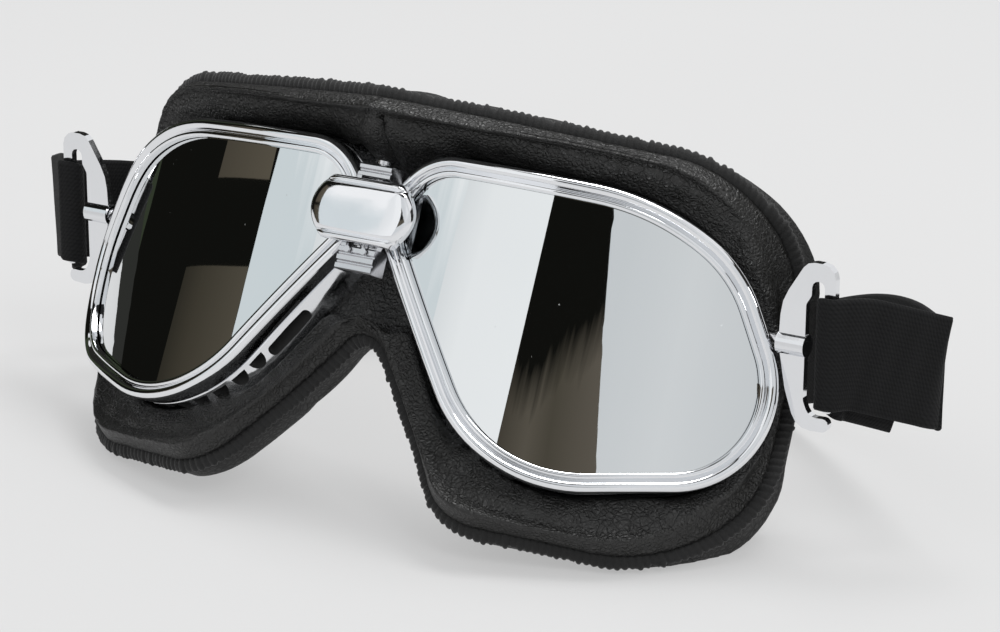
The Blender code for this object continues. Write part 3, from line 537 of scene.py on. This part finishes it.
def eye_edge_at(angle):
    centre = Vector(EYE_CENTRE)
    ray = Vector((math.cos(angle), math.sin(angle)))
    for here, there in zip(EDGE, EDGE[1:] + EDGE[:1]):
        a, b = here - centre, there - centre
        side_a, side_b = ray.x * a.y - ray.y * a.x, ray.x * b.y - ray.y * b.x
        if side_a <= 0 < side_b and a.dot(ray) > 0:
            return here.lerp(there, side_a / (side_a - side_b))
    return EDGE[0]


class Rib:
    """One station of the padding between an eye hole and the seam."""

    def __init__(self, seam, normal, middle, run=0.0):
        x, z = seam
        self.middle, self.run = middle, run
        self.rise = middle_rise(z)
        self.on_plane = x < 0.01
        depth = middle_depth(z) if middle else seam_depth(x, z)
        self.seam = Vector((x, depth, z))
        self.out = Vector((0, 0, 0)) if middle else Vector((normal.x, 0, normal.y))
        flat = WRAP_CENTRE + WRAP_RADIUS * math.atan2(x - WRAP_CENTRE, WRAP_RADIUS - depth)
        edge = eye_edge_at(math.atan2(z - EYE_CENTRE[1], flat - EYE_CENTRE[0]))
        self.eye = wrap(edge.x, edge.y, EYE_DEPTH)
        self.inward = (wrap(*EYE_CENTRE, EYE_DEPTH) - self.eye).normalized()
        self.width = (self.seam - self.eye).length
        self.back = wrap_back(edge.x)
        self.seam_back = (self.back - self.out * self.back.dot(self.out)).normalized()
        self.nose = max(0.0, min(1.0, (34 - edge.x) / 12)) if edge.y < 6 else 0.0

    def at(self, across, out, back):
        towards = self.back.lerp(self.seam_back, across).normalized()
        point = self.eye.lerp(self.seam, across) + self.out * out + towards * back
        if self.on_plane and across == 1 or point.x < 0:
            point.x = 0.0
        return point


def mask_ribs(step):
    ribs, run, before = [], 0.0, None
    for point, normal in seam_path(step):
        run += (point - before).length if before else 0.0
        before = point
        ribs.append(Rib(point, normal, False, run))
    low, high = ribs[-1].seam.z, MASK_TOP
    count = round(51 / step)
    for k in range(1, count):
        z = low + (high - low) * (k / count) ** 0.93
        ribs.append(Rib((0.0, z), None, True))
    return ribs


def mirrored(loops, close):
    """Both halves of a sheet from the left half's ribs, and its middle welded."""
    bm = bmesh.new()
    rows = [[bm.verts.new(p) for p in loop] for loop in loops]
    pairs = list(zip(rows, rows[1:])) + ([(rows[-1], rows[0])] if close else [])
    for here, there in pairs:
        for i in range(len(here) - 1):
            corners = (here[i], here[i + 1], there[i + 1], there[i])
            if any(v.co.x > 1e-6 for v in corners):
                bm.faces.new(corners)
    bmesh.ops.delete(bm, geom=[v for v in bm.verts if not v.link_faces], context="VERTS")
    bmesh.ops.remove_doubles(bm, verts=bm.verts, dist=1e-3)
    bmesh.ops.mirror(bm, geom=bm.verts[:] + bm.edges[:] + bm.faces[:], axis="X", merge_dist=1e-3)
    bmesh.ops.recalc_face_normals(bm, faces=bm.faces)
    bm.verts.index_update()
    verts = [v.co.copy() for v in bm.verts]
    faces = [[v.index for v in f.verts] for f in bm.faces]
    bm.free()
    return verts, faces


def lumps(run, pitch, seed):
    """0 at the pinches and 1 between them, unevenly spaced."""
    wander = noise.noise(Vector((run / 37.0, seed, 0.0))) * 0.9
    return abs(math.sin(math.pi * (run / pitch + wander))) ** 0.75


LEATHER_FRONT = [(0, -7.0), (0.10, -7.9), (0.28, -8.3), (0.52, -7.1)]
LEATHER_EDGE = [(-3.9, -5.6), (-1.8, -3.6), (-0.4, -1.4)]


def leather_line(rib):
    points = []
    for across, back in LEATHER_FRONT:
        back += NOSE_DROP * rib.nose * (1 - across) ** 1.5
        if rib.middle:
            back = -2.1 + (back + 2.1) * rib.rise - 0.6 * math.sin(math.pi * across)
        points.append(rib.at(across, 0, back))
    for out, back in LEATHER_EDGE:
        if rib.middle:
            out, back = 0, -2.1
        points.append(rib.at(1, max(out, -0.25 * rib.width), back))
    if not rib.middle:
        for k, share in ((0, 1.0), (1, 0.6)):
            points[k] += rib.inward * (LEATHER_LIP * (1 - rib.nose) - 3.0 * rib.nose) * share
    deep = 1.6 if rib.nose > 0.5 or rib.middle else 2.6
    points.insert(0, points[0] + rib.back * deep)
    line = smooth_line(points, 4)
    last = len(line) - 1
    for i, p in enumerate(line):
        if rib.middle and i == last:
            continue
        share = i / last
        from_seam = (1 - share) * rib.width
        pucker = 0.34 * math.exp(-(from_seam / 4.5) ** 2) * (lumps(rib.run, 5.2, 3.1) - 0.6)
        swell = noise.noise(p * 0.055) * 0.55 * math.sin(math.pi * min(1, share * 1.1)) ** 2
        fold = noise.noise(Vector((rib.run * 0.16, from_seam * 0.035, 4.0))) * 0.4 * share
        if rib.middle:
            pucker = fold = 0.0
        p -= rib.back * (pucker + swell + fold * math.sin(math.pi * share))
        if p.x < 0 or (rib.on_plane and i == last):
            p.x = 0.0
    return line


def lining_line(rib):
    if rib.middle:
        points = [rib.at(a, 0, MIDDLE_BACK + (0 if a in (0, 1) else 0.4))
                  for a in (1, 1, 1, 1, 1, 0.7, 0.35, 0)]
    else:
        scale = min(1.0, rib.width / 10)
        high = max(0.0, min(1.0, rib.out.z * 1.6 - 0.35))
        high *= max(0.0, min(1.0, (74 - rib.seam.x) / 22))
        low = max(0.0, -rib.out.z) * (rib.seam.z < -45)
        bulge = (0.12 + 0.5 * low + high * (0.35 + 0.5 * lumps(rib.run, 17.0, 7.7)))
        tuck = scale * bulge
        profile = [(1, -1.6, 1.4), (1, 0.6, 2.0), (1, 2.6, 3.6), (1, 3.0, 6.4), (1, 0.9, 9.0),
                   (0.7, 0, 10.6), (0.35, 0, 11.0), (0, 0, 9.4)]
        points = [rib.at(across, out * (tuck if out > 0 else scale),
                         back * (scale if across == 1 else 1)) for across, out, back in profile]
    points += [rib.at(0, 0, back) + rib.inward * 0.1 for back in (4.5, 0.6)]
    line = smooth_line(points, 3)
    for i, p in enumerate(line):
        share = i / (len(line) - 1)
        p += rib.back * noise.noise(p * 0.06) * 0.6 * math.sin(math.pi * share)
        if p.x < 0 or rib.on_plane and share < 0.55:
            p.x = 0.0
    return line


def even_out(mesh, shifts, rounds):
    """Averages each vertex's shift with its neighbours', so that leather folds but doesn't crumple."""
    ends = np.array([tuple(e.vertices) for e in mesh.edges])
    moves = np.array([tuple(shift) for shift in shifts])
    for _ in range(rounds):
        total, count = moves.copy(), np.ones((len(moves), 1))
        for a, b in ((0, 1), (1, 0)):
            np.add.at(total, ends[:, a], moves[ends[:, b]])
            np.add.at(count, ends[:, a], 1)
        moves = total / count
    return [Vector(move) for move in moves]


def swell(obj, held, pressure, spread, cap, frames=14):
    """Lets the sheet swell and wrinkle as cloth between the points that are held."""
    scene, mesh = bpy.context.scene, obj.data
    group = obj.vertex_groups.new(name="held")
    for v in mesh.vertices:
        group.add([v.index], held[v.index], "REPLACE")
    cloth = obj.modifiers.new("swell", "CLOTH")
    settings = cloth.settings
    settings.quality, settings.mass = 5, 0.25
    settings.tension_stiffness = settings.compression_stiffness = 12
    settings.bending_stiffness = 4.0
    settings.use_pressure, settings.uniform_pressure_force = True, pressure
    settings.shrink_min = settings.shrink_max = -spread
    settings.vertex_group_mass = "held"
    settings.effector_weights.gravity = 0
    cloth.collision_settings.use_collision = False
    scene.frame_start, scene.frame_end = 1, frames
    for f in range(1, frames + 1):
        scene.frame_set(f)
    moved = obj.evaluated_get(bpy.context.evaluated_depsgraph_get()).to_mesh()
    shifts = even_out(mesh, [w.co - v.co for v, w in zip(mesh.vertices, moved.vertices)], 3)
    shifts = [shift * min(1.0, cap / max(shift.length, 1e-9)) for shift in shifts]
    obj.modifiers.remove(cloth)
    scene.frame_set(1)
    for v, shift in zip(mesh.vertices, shifts):
        if abs(v.co.x) > 1e-6:
            v.co += shift
        else:
            v.co.yz += shift.yz
    mesh.update()


HELD_LEVEL, HELD_REACH = 1.65, 6.0    # held fast to about 4 mm off an edge, and free from about 10


def held_weights(mesh, ribs):
    """1 near the seam and the eye hole, falling to 0 in the middle of wide padding."""
    tree = kdtree.KDTree(4 * len(ribs))
    index = 0
    for rib in ribs:
        for end in (rib.seam, rib.eye):
            for sign in (-1, 1):
                tree.insert(place((sign * end.x, end.y, end.z)), index)
                index += 1
    tree.balance()
    return [max(0.0, min(1.0, HELD_LEVEL - tree.find(v.co)[2] / (HELD_REACH * MM))) ** 2
            for v in mesh.vertices]


def soft_sheet(name, line, step, thick, mat, node, outward, puff, floor=False):
    ribs = mask_ribs(step)
    verts, faces = mirrored([line(rib) for rib in ribs], True)
    obj = piece(name, verts, faces, mat, None, (node,))
    mesh = obj.data
    facing = sum((p.normal * p.area for p in mesh.polygons), Vector()).y
    if facing * outward < 0:
        mesh.flip_normals()
    swell(obj, held_weights(mesh, ribs), *puff)
    if floor:
        for v in mesh.vertices:
            v.co.z = max(v.co.z, 0.00002)
    shell = obj.modifiers.new("thickness", "SOLIDIFY")
    shell.thickness, shell.offset = thick * MM, -1
    apply_modifiers(obj)
    return obj


# Across the padding from the eye hole to the seam, and back
FOAM_SECTION = [(0.22, -3.2), (0.38, -3.6), (0.52, -2.6), (0.61, -0.4), (0.65, 2.6), (0.62, 5.0),
                (0.52, 6.6), (0.36, 7.0), (0.22, 6.2), (0.16, 3.5), (0.16, 0.0)]
FOAM_MIDDLE, FOAM_FULL_WIDTH, FOAM_OFF_FLOOR = 2.0, 15.0, 1.6


def foam_pad(side, mat):
    """The cushion between the leather and the lining, round the outside of one eye."""
    rows = []
    for rib in mask_ribs(3.0):
        if rib.middle or rib.seam.x < 6:
            continue
        thin = min(1.0, rib.width / FOAM_FULL_WIDTH)
        start = 0.25 * rib.nose
        section = [(start + (0.5 + (a - 0.5) * thin) * (1 - start),
                    FOAM_MIDDLE + (b - FOAM_MIDDLE) * thin) for a, b in FOAM_SECTION]
        loop = smooth_line([rib.at(across, 0, back) for across, back in section], 2, True)
        rows.append([Vector((side * p.x, p.y, p.z)) for p in loop])
    count = len(rows[0])
    verts = [p for row in rows for p in row]
    faces = grid_faces(len(rows), count, False, True)
    faces += [tuple(range(count)), tuple(len(verts) - 1 - k for k in range(count))]
    name = side_name("foam_pad", side)
    obj = piece(name + "_cushion", verts, faces, mat, frame_body(side), (name,))
    for v in obj.data.vertices:
        v.co.z = max(v.co.z, FOAM_OFF_FLOOR * MM)
    return obj


def seam_stations(step):
    """(point, outward) evenly along the whole closed seam."""
    half = [(r.seam, r.out) for r in mask_ribs(3.0) if not r.middle]
    whole = half + [(Vector((-p.x, p.y, p.z)), Vector((-o.x, o.y, o.z)))
                    for p, o in half[-2:0:-1]]
    points = smooth_line([p for p, _ in whole], 6, True)
    outs = smooth_line([o for _, o in whole], 6, True)
    xyz = np.array([tuple(p) + tuple(o) for p, o in zip(points, outs)])
    closed = np.vstack([xyz, xyz[:1]])
    lengths = np.concatenate([[0], np.cumsum(np.linalg.norm(np.diff(closed[:, :3], axis=0), axis=1))])
    total = lengths[-1]
    count = int(total / step)
    at = np.arange(count) * total / count
    fine = np.stack([np.interp(at, lengths, closed[:, k]) for k in range(6)], axis=1)
    return [(Vector(f[:3]), Vector(f[3:]).normalized()) for f in fine], at, total


WELT_PITCH = 1.6


def welt(mat):
    """Overlocked edge: thread wrapped round the seam, one ridge to a turn."""
    stations, at, total = seam_stations(0.27)
    turns = round(total / WELT_PITCH)
    count, sides, verts = len(stations), 12, []
    for i, (point, out) in enumerate(stations):
        run = (stations[(i + 1) % count][0] - stations[i - 1][0]).normalized()
        out = (out - run * out.dot(run)).normalized()
        back = run.cross(out)
        shift = noise.noise(point * 0.11) * 0.4
        centre = point + out * (0.15 + shift) + back * (noise.noise(point * 0.09) * 0.4 - 0.3)
        turn = at[i] / total * turns
        uneven = 1 + 0.24 * noise.noise(Vector((math.floor(turn) * 0.9, 2.0, 0)))
        for k in range(sides):
            angle = 2 * math.pi * k / sides
            ridge = abs(math.sin(math.pi * (turn + 0.22 * math.cos(angle)))) ** 0.7
            reach = (0.98 + 0.34 * ridge) * uneven
            verts.append(centre + out * math.cos(angle) * reach * 1.7
                         + back * math.sin(angle) * reach)
    faces = grid_faces(count, sides, True, True)
    return piece("overlock_edge", verts, faces, mat, None, ("edge_welt",))


# Bridge plate

def bridge_plate(mat):
    rows = [(-1, 1.5), (-0.985, 1.15), (-0.95, 0.8), (-0.9, 0.58), (-0.85, 0.62), (-0.815, 0.9),
            (-0.79, 1.0), (-0.76, 0.7), (-0.72, 0.35), (-0.6, 0.14), (-0.3, 0.02), (0, 0),
            (0.3, 0.02), (0.6, 0.14), (0.72, 0.35), (0.76, 0.7), (0.79, 1.0), (0.815, 0.9),
            (0.85, 0.62), (0.9, 0.58), (0.95, 0.8), (0.985, 1.15), (1, 1.5)]
    rows = [tuple(p)[:2] for p in smooth_line([Vector((a, b, 0)) for a, b in rows], 2)]
    columns = [-1, -0.993, -0.98, -0.95, -0.9, -0.82, -0.7, -0.5, -0.25, 0,
               0.25, 0.5, 0.7, 0.82, 0.9, 0.95, 0.98, 0.993, 1]
    verts = []
    for layer in (0, 1):
        for up, sunk in rows:
            half = 13.3 - 4.3 * up * up
            depth = 1.2 + 1.3 * up ** 6 if layer else sunk
            for across in columns:
                edge = 0.35 * abs(across) ** 40 if not layer else 0
                verts.append((half * across, -7.6 + depth + 1.7 * across ** 12 + 0.3 * across ** 2
                              - (0 if layer else sunk * across ** 12) + edge, -2.3 + 7.1 * up))
    wide, tall = len(columns), len(rows)
    layer_size = wide * tall
    faces = grid_faces(tall, wide)
    faces += [tuple(layer_size + i for i in reversed(f)) for f in grid_faces(tall, wide)]
    rim = (list(range(wide)) + [wide * k + wide - 1 for k in range(1, tall - 1)]
           + [layer_size - 1 - k for k in range(wide)] + [wide * k for k in range(tall - 2, 0, -1)])
    for a, b in zip(rim, rim[1:] + rim[:1]):
        faces.append((a, b, b + layer_size, a + layer_size))
    return piece("bridge_cover", verts, faces, mat, "frame_right", ("bridge_plate",),
                 sharp=55)


# Strap

STRAP_WIDTH, STRAP_THICK, STRAP_RISE = 25.0, 1.5, -0.5
STRAP_OUT, STRAP_DROOP = math.radians(45), math.radians(17)
STRAP_RUN, TAIL_RUN, FOLD_RADIUS, FOLD_TURN = 23.5, 19.5, 2.6, math.radians(88)
STRAP_BACK = 112.0 + BRIDGE.y
HOOK_X, HOOK_BAR, TAIL_SINK, GAP = 90.3, 10.9, 3.2, 0.3
BARREL = LEAN @ Vector((0, 27.0, -10.6)) + BRIDGE


def ribbon(name, stations, mat, replaces, side=1, start=0.0):
    """Webbing along (point, up) stations, with rounded selvedges. World millimetres."""
    points = smooth_line([p for p, _ in stations], 4)
    ups = smooth_line([u for _, u in stations], 4)
    section = [(v * STRAP_WIDTH / 2, w) for v, w in
               ((1.0, 0.0), (0.992, 0.62), (0.955, 1.0), (0.6, 0.92), (0.2, 0.95), (-0.2, 0.95),
                (-0.6, 0.92), (-0.955, 1.0), (-0.992, 0.62), (-1.0, 0.0), (-0.992, -0.62),
                (-0.955, -1.0), (-0.6, -0.92), (-0.2, -0.95), (0.2, -0.95), (0.6, -0.92),
                (0.955, -1.0), (0.992, -0.62))]
    verts, uv, run = [], [], start
    for i, (point, up) in enumerate(zip(points, ups)):
        ahead = points[min(i + 1, len(points) - 1)] - points[max(i - 1, 0)]
        across = ahead.cross(up).normalized() * STRAP_THICK / 2
        run += (point - points[max(i - 1, 0)]).length
        up = up.normalized()
        for v, w in section:
            c = point + up * v + across * w
            verts.append((side * c.x, c.y, c.z))
            uv.append((run, v))
    count = len(section)
    faces = grid_faces(len(points), count, False, True)
    faces += [tuple(range(count)), tuple(len(verts) - 1 - k for k in range(count))]
    obj = piece(name, verts, faces, mat, None, replaces, local=False, uv=uv, sharp=60)
    for v in obj.data.vertices:
        v.co.z = max(v.co.z, 0.0)
    return obj


def strap_point(run, offset, droop=1.0):
    heading = Vector((math.cos(STRAP_OUT), math.sin(STRAP_OUT), 0))
    square = Vector((-heading.y, heading.x, 0))
    fall = STRAP_DROOP * droop
    angle = fall * min(run / 10, 1)
    drop = math.sin(fall) * (run * run / 20 if run < 10 else run - 5)
    bar = Vector((HOOK_X + HOOK_BAR, 0, STRAP_RISE))
    point = bar + heading * run * math.cos(angle) + square * offset - Vector((0, 0, drop))
    return point, (Vector((0, 0, math.cos(angle))) + heading * math.sin(angle))


def strap_loop(side, mat):
    bar_x, upright = HOOK_X + HOOK_BAR, Vector((0, 0, 1))
    around = [(1.6, 2.5, 1.0), (0.2, 2.35, 0.9), (-1.3, 2.0, 0.65), (-2.25, 0.9, 0.35),
              (-2.25, -0.9, 0.15), (-1.3, -2.0, 0), (0.2, -2.15, 0), (1.8, -1.6, 0)]
    sunk = Vector((0, 0, TAIL_SINK))
    stations = [(point - sunk, up) for point, up in
                (strap_point(run, 1.75, 1.1) for run in (TAIL_RUN, 11.0, 6.5))]
    stations += [(Vector((bar_x + x, y, STRAP_RISE - TAIL_SINK * low)), upright)
                 for x, y, low in around]
    stations += [strap_point(run, -1.15) for run in (6.0, 11.0, 16.0, STRAP_RUN + GAP + 0.3)]
    stations = [(p + BARREL, u) for p, u in stations]
    name = side_name("strap_loop", side)
    obj = ribbon(name + "_webbing", stations, mat, (name,), side)
    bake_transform(obj)
    return obj


def strap_back(mat):
    start, up = strap_point(STRAP_RUN + GAP, -1.15)
    start, upright = start + BARREL, Vector((0, 0, 1))
    depth, half = STRAP_BACK, STRAP_WIDTH / 2
    centre = start + Vector((-math.sin(STRAP_OUT), math.cos(STRAP_OUT), 0)) * FOLD_RADIUS
    route, folds = [], 8
    for k in range(folds + 1):
        angle = STRAP_OUT + FOLD_TURN * k / folds
        spot = centre + Vector((math.sin(angle), -math.cos(angle), 0)) * FOLD_RADIUS
        route.append((spot - Vector((0, 0, 1.8 * k / folds)), up.lerp(upright, k / folds)))
    home = route[-1][0]
    slope = math.tan(math.pi - STRAP_OUT - FOLD_TURN)
    corner = Vector((home.x - (depth - home.y) / slope, depth, 0))
    for k in range(1, 15):
        share = k / 14
        spot = home * (1 - share) ** 2 + corner * 2 * share * (1 - share)
        spot += Vector((0, depth, 0)) * share ** 2
        fall = min(1.0, share * 1.5)
        spot.z = home.z + (half - home.z) * fall * fall * (3 - 2 * fall)
        route.append((spot, upright))
    route += [(Vector((-p.x, p.y, p.z)), Vector((-u.x, u.y, u.z))) for p, u in route[-2::-1]]
    obj = ribbon("strap_webbing", route, mat, ("strap_back",))
    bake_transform(obj)
    return obj


# Assembly

chrome_bezel = chrome("bezel_chrome")
chrome_cup = chrome("cup_chrome", (0.80, 0.81, 0.83), 0.05, 0.08)
chrome_plate = chrome("plate_chrome", (0.88, 0.89, 0.91), 0.05, 0.06)
chrome_hook = chrome("hook_chrome", (0.84, 0.85, 0.87), 0.06, 0.08)
nickel = chrome("nickel", (0.70, 0.70, 0.72), 0.14, 0.12)
lens_mirror = mirror("lens_mirror")
rubber = cloth_look("gasket_rubber", (0.01, 0.01, 0.01), 0.55, 0.0, 900.0)
foam = cloth_look("cushion_foam", (0.02, 0.02, 0.021), 0.95, 0.1, 3200.0)
leather_black = leather("leather_black")
leather_lining = leather("leather_lining", (0.0095, 0.0095, 0.0092), 0.7, 0.5, 800.0)
thread = cloth_look("overlock_thread", (0.0085, 0.0085, 0.0085), 0.7, 0.15, 3000.0)
elastic = webbing("woven_elastic")

for side in (-1, 1):
    lens(side, lens_mirror)
    name = side_name("bezel", side)
    ring(name + "_rim", BEZEL, side, chrome_bezel, (name,))
    # The gasket rubber also paints shade on the eyecup's vent walls.
    eyecup(side, chrome_cup, rubber)
    strap_loop(side, elastic)
    foam_pad(side, foam)

mask = soft_sheet("padded_leather", leather_line, 1.6, 1.0, leather_black, "leather_mask", -1,
                  (0.8, 0.035, 0.9 * MM))
lining = soft_sheet("padded_lining", lining_line, 2.0, 1.0, leather_lining, "face_lining", 1,
                    (0.6, 0.035, 1.0 * MM), True)
edge = welt(thread)
for soft in (mask, lining, edge):
    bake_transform(soft)
bridge_plate(chrome_plate)
strap_back(elastic)

LOOKS = {"lens_gasket": rubber, "hinge_leaf": nickel, "hinge_pin": nickel,
         "bridge_screw": nickel, "outrigger_pin": nickel, "outrigger": chrome_hook}
for name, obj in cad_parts.items():
    stem = name.replace("_left", "").replace("_right", "")
    if stem in LOOKS:
        for slot in obj.material_slots:
            slot.material = LOOKS[stem]
        if stem in ("outrigger", "hinge_leaf"):
            bevel = obj.modifiers.new("worn edges", "BEVEL")
            bevel.width = 0.0003 if stem == "outrigger" else 0.00012
            bevel.segments = 2
            bevel.limit_method = "ANGLE"
            bevel.angle_limit = math.radians(40)


# Studio

def card(name, corners, stops, radius=1.6, top=None, bow=0):
    """A curved card seen only in reflections.

    Corners are (azimuth, elevation) for low left, low right, high right, high left, where azimuth 0
    is straight ahead of the goggles. The stops colour it from left to right, and it may turn
    into the top colour between two heights. The bow raises its middle by so many degrees.
    """
    steps, verts, uv = 20, [], []
    low_left, low_right, high_right, high_left = (Vector(c) for c in corners)
    for k in range(steps + 1):
        for j in range(steps + 1):
            share, rise = k / steps, j / steps
            azimuth, elevation = low_left.lerp(low_right, share).lerp(
                high_left.lerp(high_right, share), rise)
            elevation += bow * 4 * share * (1 - share)
            azimuth, elevation = math.radians(azimuth), math.radians(elevation)
            verts.append((radius * math.sin(azimuth) * math.cos(elevation),
                          -radius * math.cos(azimuth) * math.cos(elevation),
                          radius * math.sin(elevation)))
            uv.append((share, rise))
    mesh = bpy.data.meshes.new(name)
    mesh.from_pydata(verts, [], grid_faces(steps + 1, steps + 1))
    layer = mesh.uv_layers.new(name="UVMap")
    for loop in mesh.loops:
        layer.data[loop.index].uv = uv[loop.vertex_index]
    n = Nodes(name)
    n.tree.nodes.remove(n.shader)
    coords = n.add("ShaderNodeUVMap")
    coords.uv_map = "UVMap"
    split = n.add("ShaderNodeSeparateXYZ", Vector=coords.outputs[0])
    streak = n.add("ShaderNodeTexNoise", Vector=n.place((6.0, 6.0, 1.5)), Scale=1.0, Detail=3.0)
    wide = n.math("ADD", split.outputs[0], n.math("MULTIPLY", streak.outputs["Fac"], 0.06))
    colour = n.ramp(wide, stops)
    if top:
        ripple = n.add("ShaderNodeTexNoise", Vector=n.place((14.0, 14.0, 3.0)), Scale=1.0, Detail=3.0)
        tall = n.math("ADD", split.outputs[1], n.math("MULTIPLY", ripple.outputs["Fac"], 0.12))
        blend = n.add("ShaderNodeMix", data_type="RGBA")
        n.link(n.value(tall, top[0], top[1], 0.0, 1.0), blend.inputs["Factor"])
        n.link(colour, blend.inputs[6])
        blend.inputs[7].default_value = (*top[2], 1)
        colour = blend.outputs[2]
    glow = n.add("ShaderNodeEmission", Color=colour)
    n.link(glow.outputs[0], n.tree.nodes["Material Output"].inputs[0])
    mesh.materials.append(n.mat)
    obj = bpy.data.objects.new(name, mesh)
    bpy.context.scene.collection.objects.link(obj)
    obj.visible_camera = obj.visible_diffuse = obj.visible_shadow = False
    obj.visible_transmission = obj.visible_volume_scatter = False
    return obj


def wall(name, left, right, low, high, colour, radius=1.6, top=None):
    return card(name, [(left, low), (right, low), (right, high), (left, high)],
                [(0.0, colour), (1.0, colour)], radius, top)


def gap_edge(elevation):
    return 17.3 + (31.4 - elevation) * 1.375


PATCH_RADIUS = 1.55
BLACK, BROWN, WHITE = (0.006, 0.006, 0.005), (0.105, 0.092, 0.072), (0.97, 0.975, 0.98)
wall("soft_box_far", -49.5, -30, 3, 68, (0.70, 0.755, 0.775), 1.6, (0.42, 0.50, WHITE))
card("soft_box", [(-30, 3), (-1.4, 3), (-1.4, 68), (-30, 68)],
     [(0.0, (0.80, 0.82, 0.83)), (0.35, (0.93, 0.94, 0.945)), (1.0, (0.95, 0.96, 0.965))])
card("gap", [(-1.4, 18), (gap_edge(18), 18), (gap_edge(42), 42), (-1.4, 42)],
     [(0.0, (0.06, 0.052, 0.04)), (0.35, BROWN), (0.6, (0.075, 0.066, 0.05)),
      (1.0, (0.115, 0.10, 0.08))],
     1.6, (0.44, 0.50, BLACK))
card("right_box", [(-1.4, 3), (78, 3), (78, 68), (-1.4, 68)],
     [(0.0, (0.66, 0.68, 0.70)), (0.35, (0.67, 0.69, 0.705)), (0.6, (0.73, 0.745, 0.755)),
      (1.0, (0.64, 0.655, 0.67))], 1.68)
wall("ceiling_gap", -60, 80, 60, 84, (0.02, 0.02, 0.02), 1.7)
wall("left_wall", -97, -49.5, 1, 68, BLACK)
card("patch_high", [(-69.1, 16.1), (-50.2, 23.3), (-50.2, 34), (-69.1, 34)],
     [(0.0, (0.07, 0.06, 0.045)), (1.0, (0.105, 0.09, 0.066))], PATCH_RADIUS, bow=0.25)
card("patch_low", [(-72.4, 1), (-49.6, 1), (-49.6, 21.2), (-72.4, 12.2)],
     [(0.0, (0.03, 0.027, 0.02)), (0.4, (0.055, 0.048, 0.035)), (1.0, (0.085, 0.074, 0.055))],
     PATCH_RADIUS, bow=0.35)
wall("green_strip", -109, -97, 0, 50, (0.036, 0.045, 0.028))
wall("side_wall", -165, -109, 0, 40, (0.02, 0.02, 0.018))
wall("right_wall", 84, 150, 0, 36, (0.03, 0.03, 0.028))
dark_floor = card("left_floor", [(-122, 0), (-84, 0), (-84, 1), (-122, 1)],
                  [(0.0, (0.03, 0.033, 0.028)), (1.0, (0.03, 0.03, 0.028))])
for v in dark_floor.data.vertices:
    v.co = (v.co.x * (0.3 + 25 * v.co.z), v.co.y * (0.3 + 25 * v.co.z), 0.003 + v.co.z)

world = bpy.data.worlds.new("studio")
bpy.context.scene.world = world
world.use_nodes = True
world.node_tree.nodes["Background"].inputs["Color"].default_value = (0.985, 0.99, 1.0, 1)
world.node_tree.nodes["Background"].inputs["Strength"].default_value = 0.86

bm = bmesh.new()
bmesh.ops.create_grid(bm, x_segments=1, y_segments=1, size=8)
mesh = bpy.data.meshes.new("floor")
bm.to_mesh(mesh)
bm.free()
floor = bpy.data.objects.new("floor", mesh)
floor.location.z = -0.0001
bpy.context.scene.collection.objects.link(floor)
paper = Nodes("paper")
tooth = paper.add("ShaderNodeTexNoise", Vector=paper.place(1.0), Scale=3.0, Detail=1.0)
paper_tone = paper.ramp(tooth.outputs["Fac"], [(0.3, (0.235,) * 3), (0.7, (0.245,) * 3)])
paper.set(Base_Color=paper_tone,
          Roughness=0.95, Specular_IOR_Level=0.0, Emission_Color=(1, 1, 1, 1), Emission_Strength=0.42)
mesh.materials.append(paper.mat)


def softbox(name, location, size, power, colour=(1, 1, 1)):
    data = bpy.data.lights.new(name, "AREA")
    data.shape, data.size, data.size_y = "RECTANGLE", size[0], size[1]
    data.energy, data.color = power, colour
    obj = bpy.data.objects.new(name, data)
    obj.location = location
    obj.rotation_mode = "QUATERNION"
    obj.rotation_quaternion = (Vector((0, 0, 0.04)) - Vector(location)).to_track_quat("-Z", "Y")
    bpy.context.scene.collection.objects.link(obj)
    return obj


softbox("overhead", (0.1, 0.35, 1.5), (1.2, 0.5), 16.0)
softbox("front", (1.3, -0.9, 1.4), (0.5, 0.9), 9.0)

camera = bpy.data.cameras.new("camera")
camera.lens, camera.sensor_width = 122.46, 36.0
camera.clip_start, camera.clip_end = 0.05, 50
eye = bpy.data.objects.new("camera", camera)
right, back = Vector((0.85254, 0.52264, 0.00421)), Vector((0.49573, -0.81115, 0.31031))
eye.matrix_world = Matrix.Translation((0.396405, -0.641126, 0.27695)) @ Matrix(
    (right, back.cross(right), back)).transposed().to_4x4()
bpy.context.scene.collection.objects.link(eye)
bpy.context.scene.camera = eye
bpy.context.scene.view_settings.view_transform = "Standard"
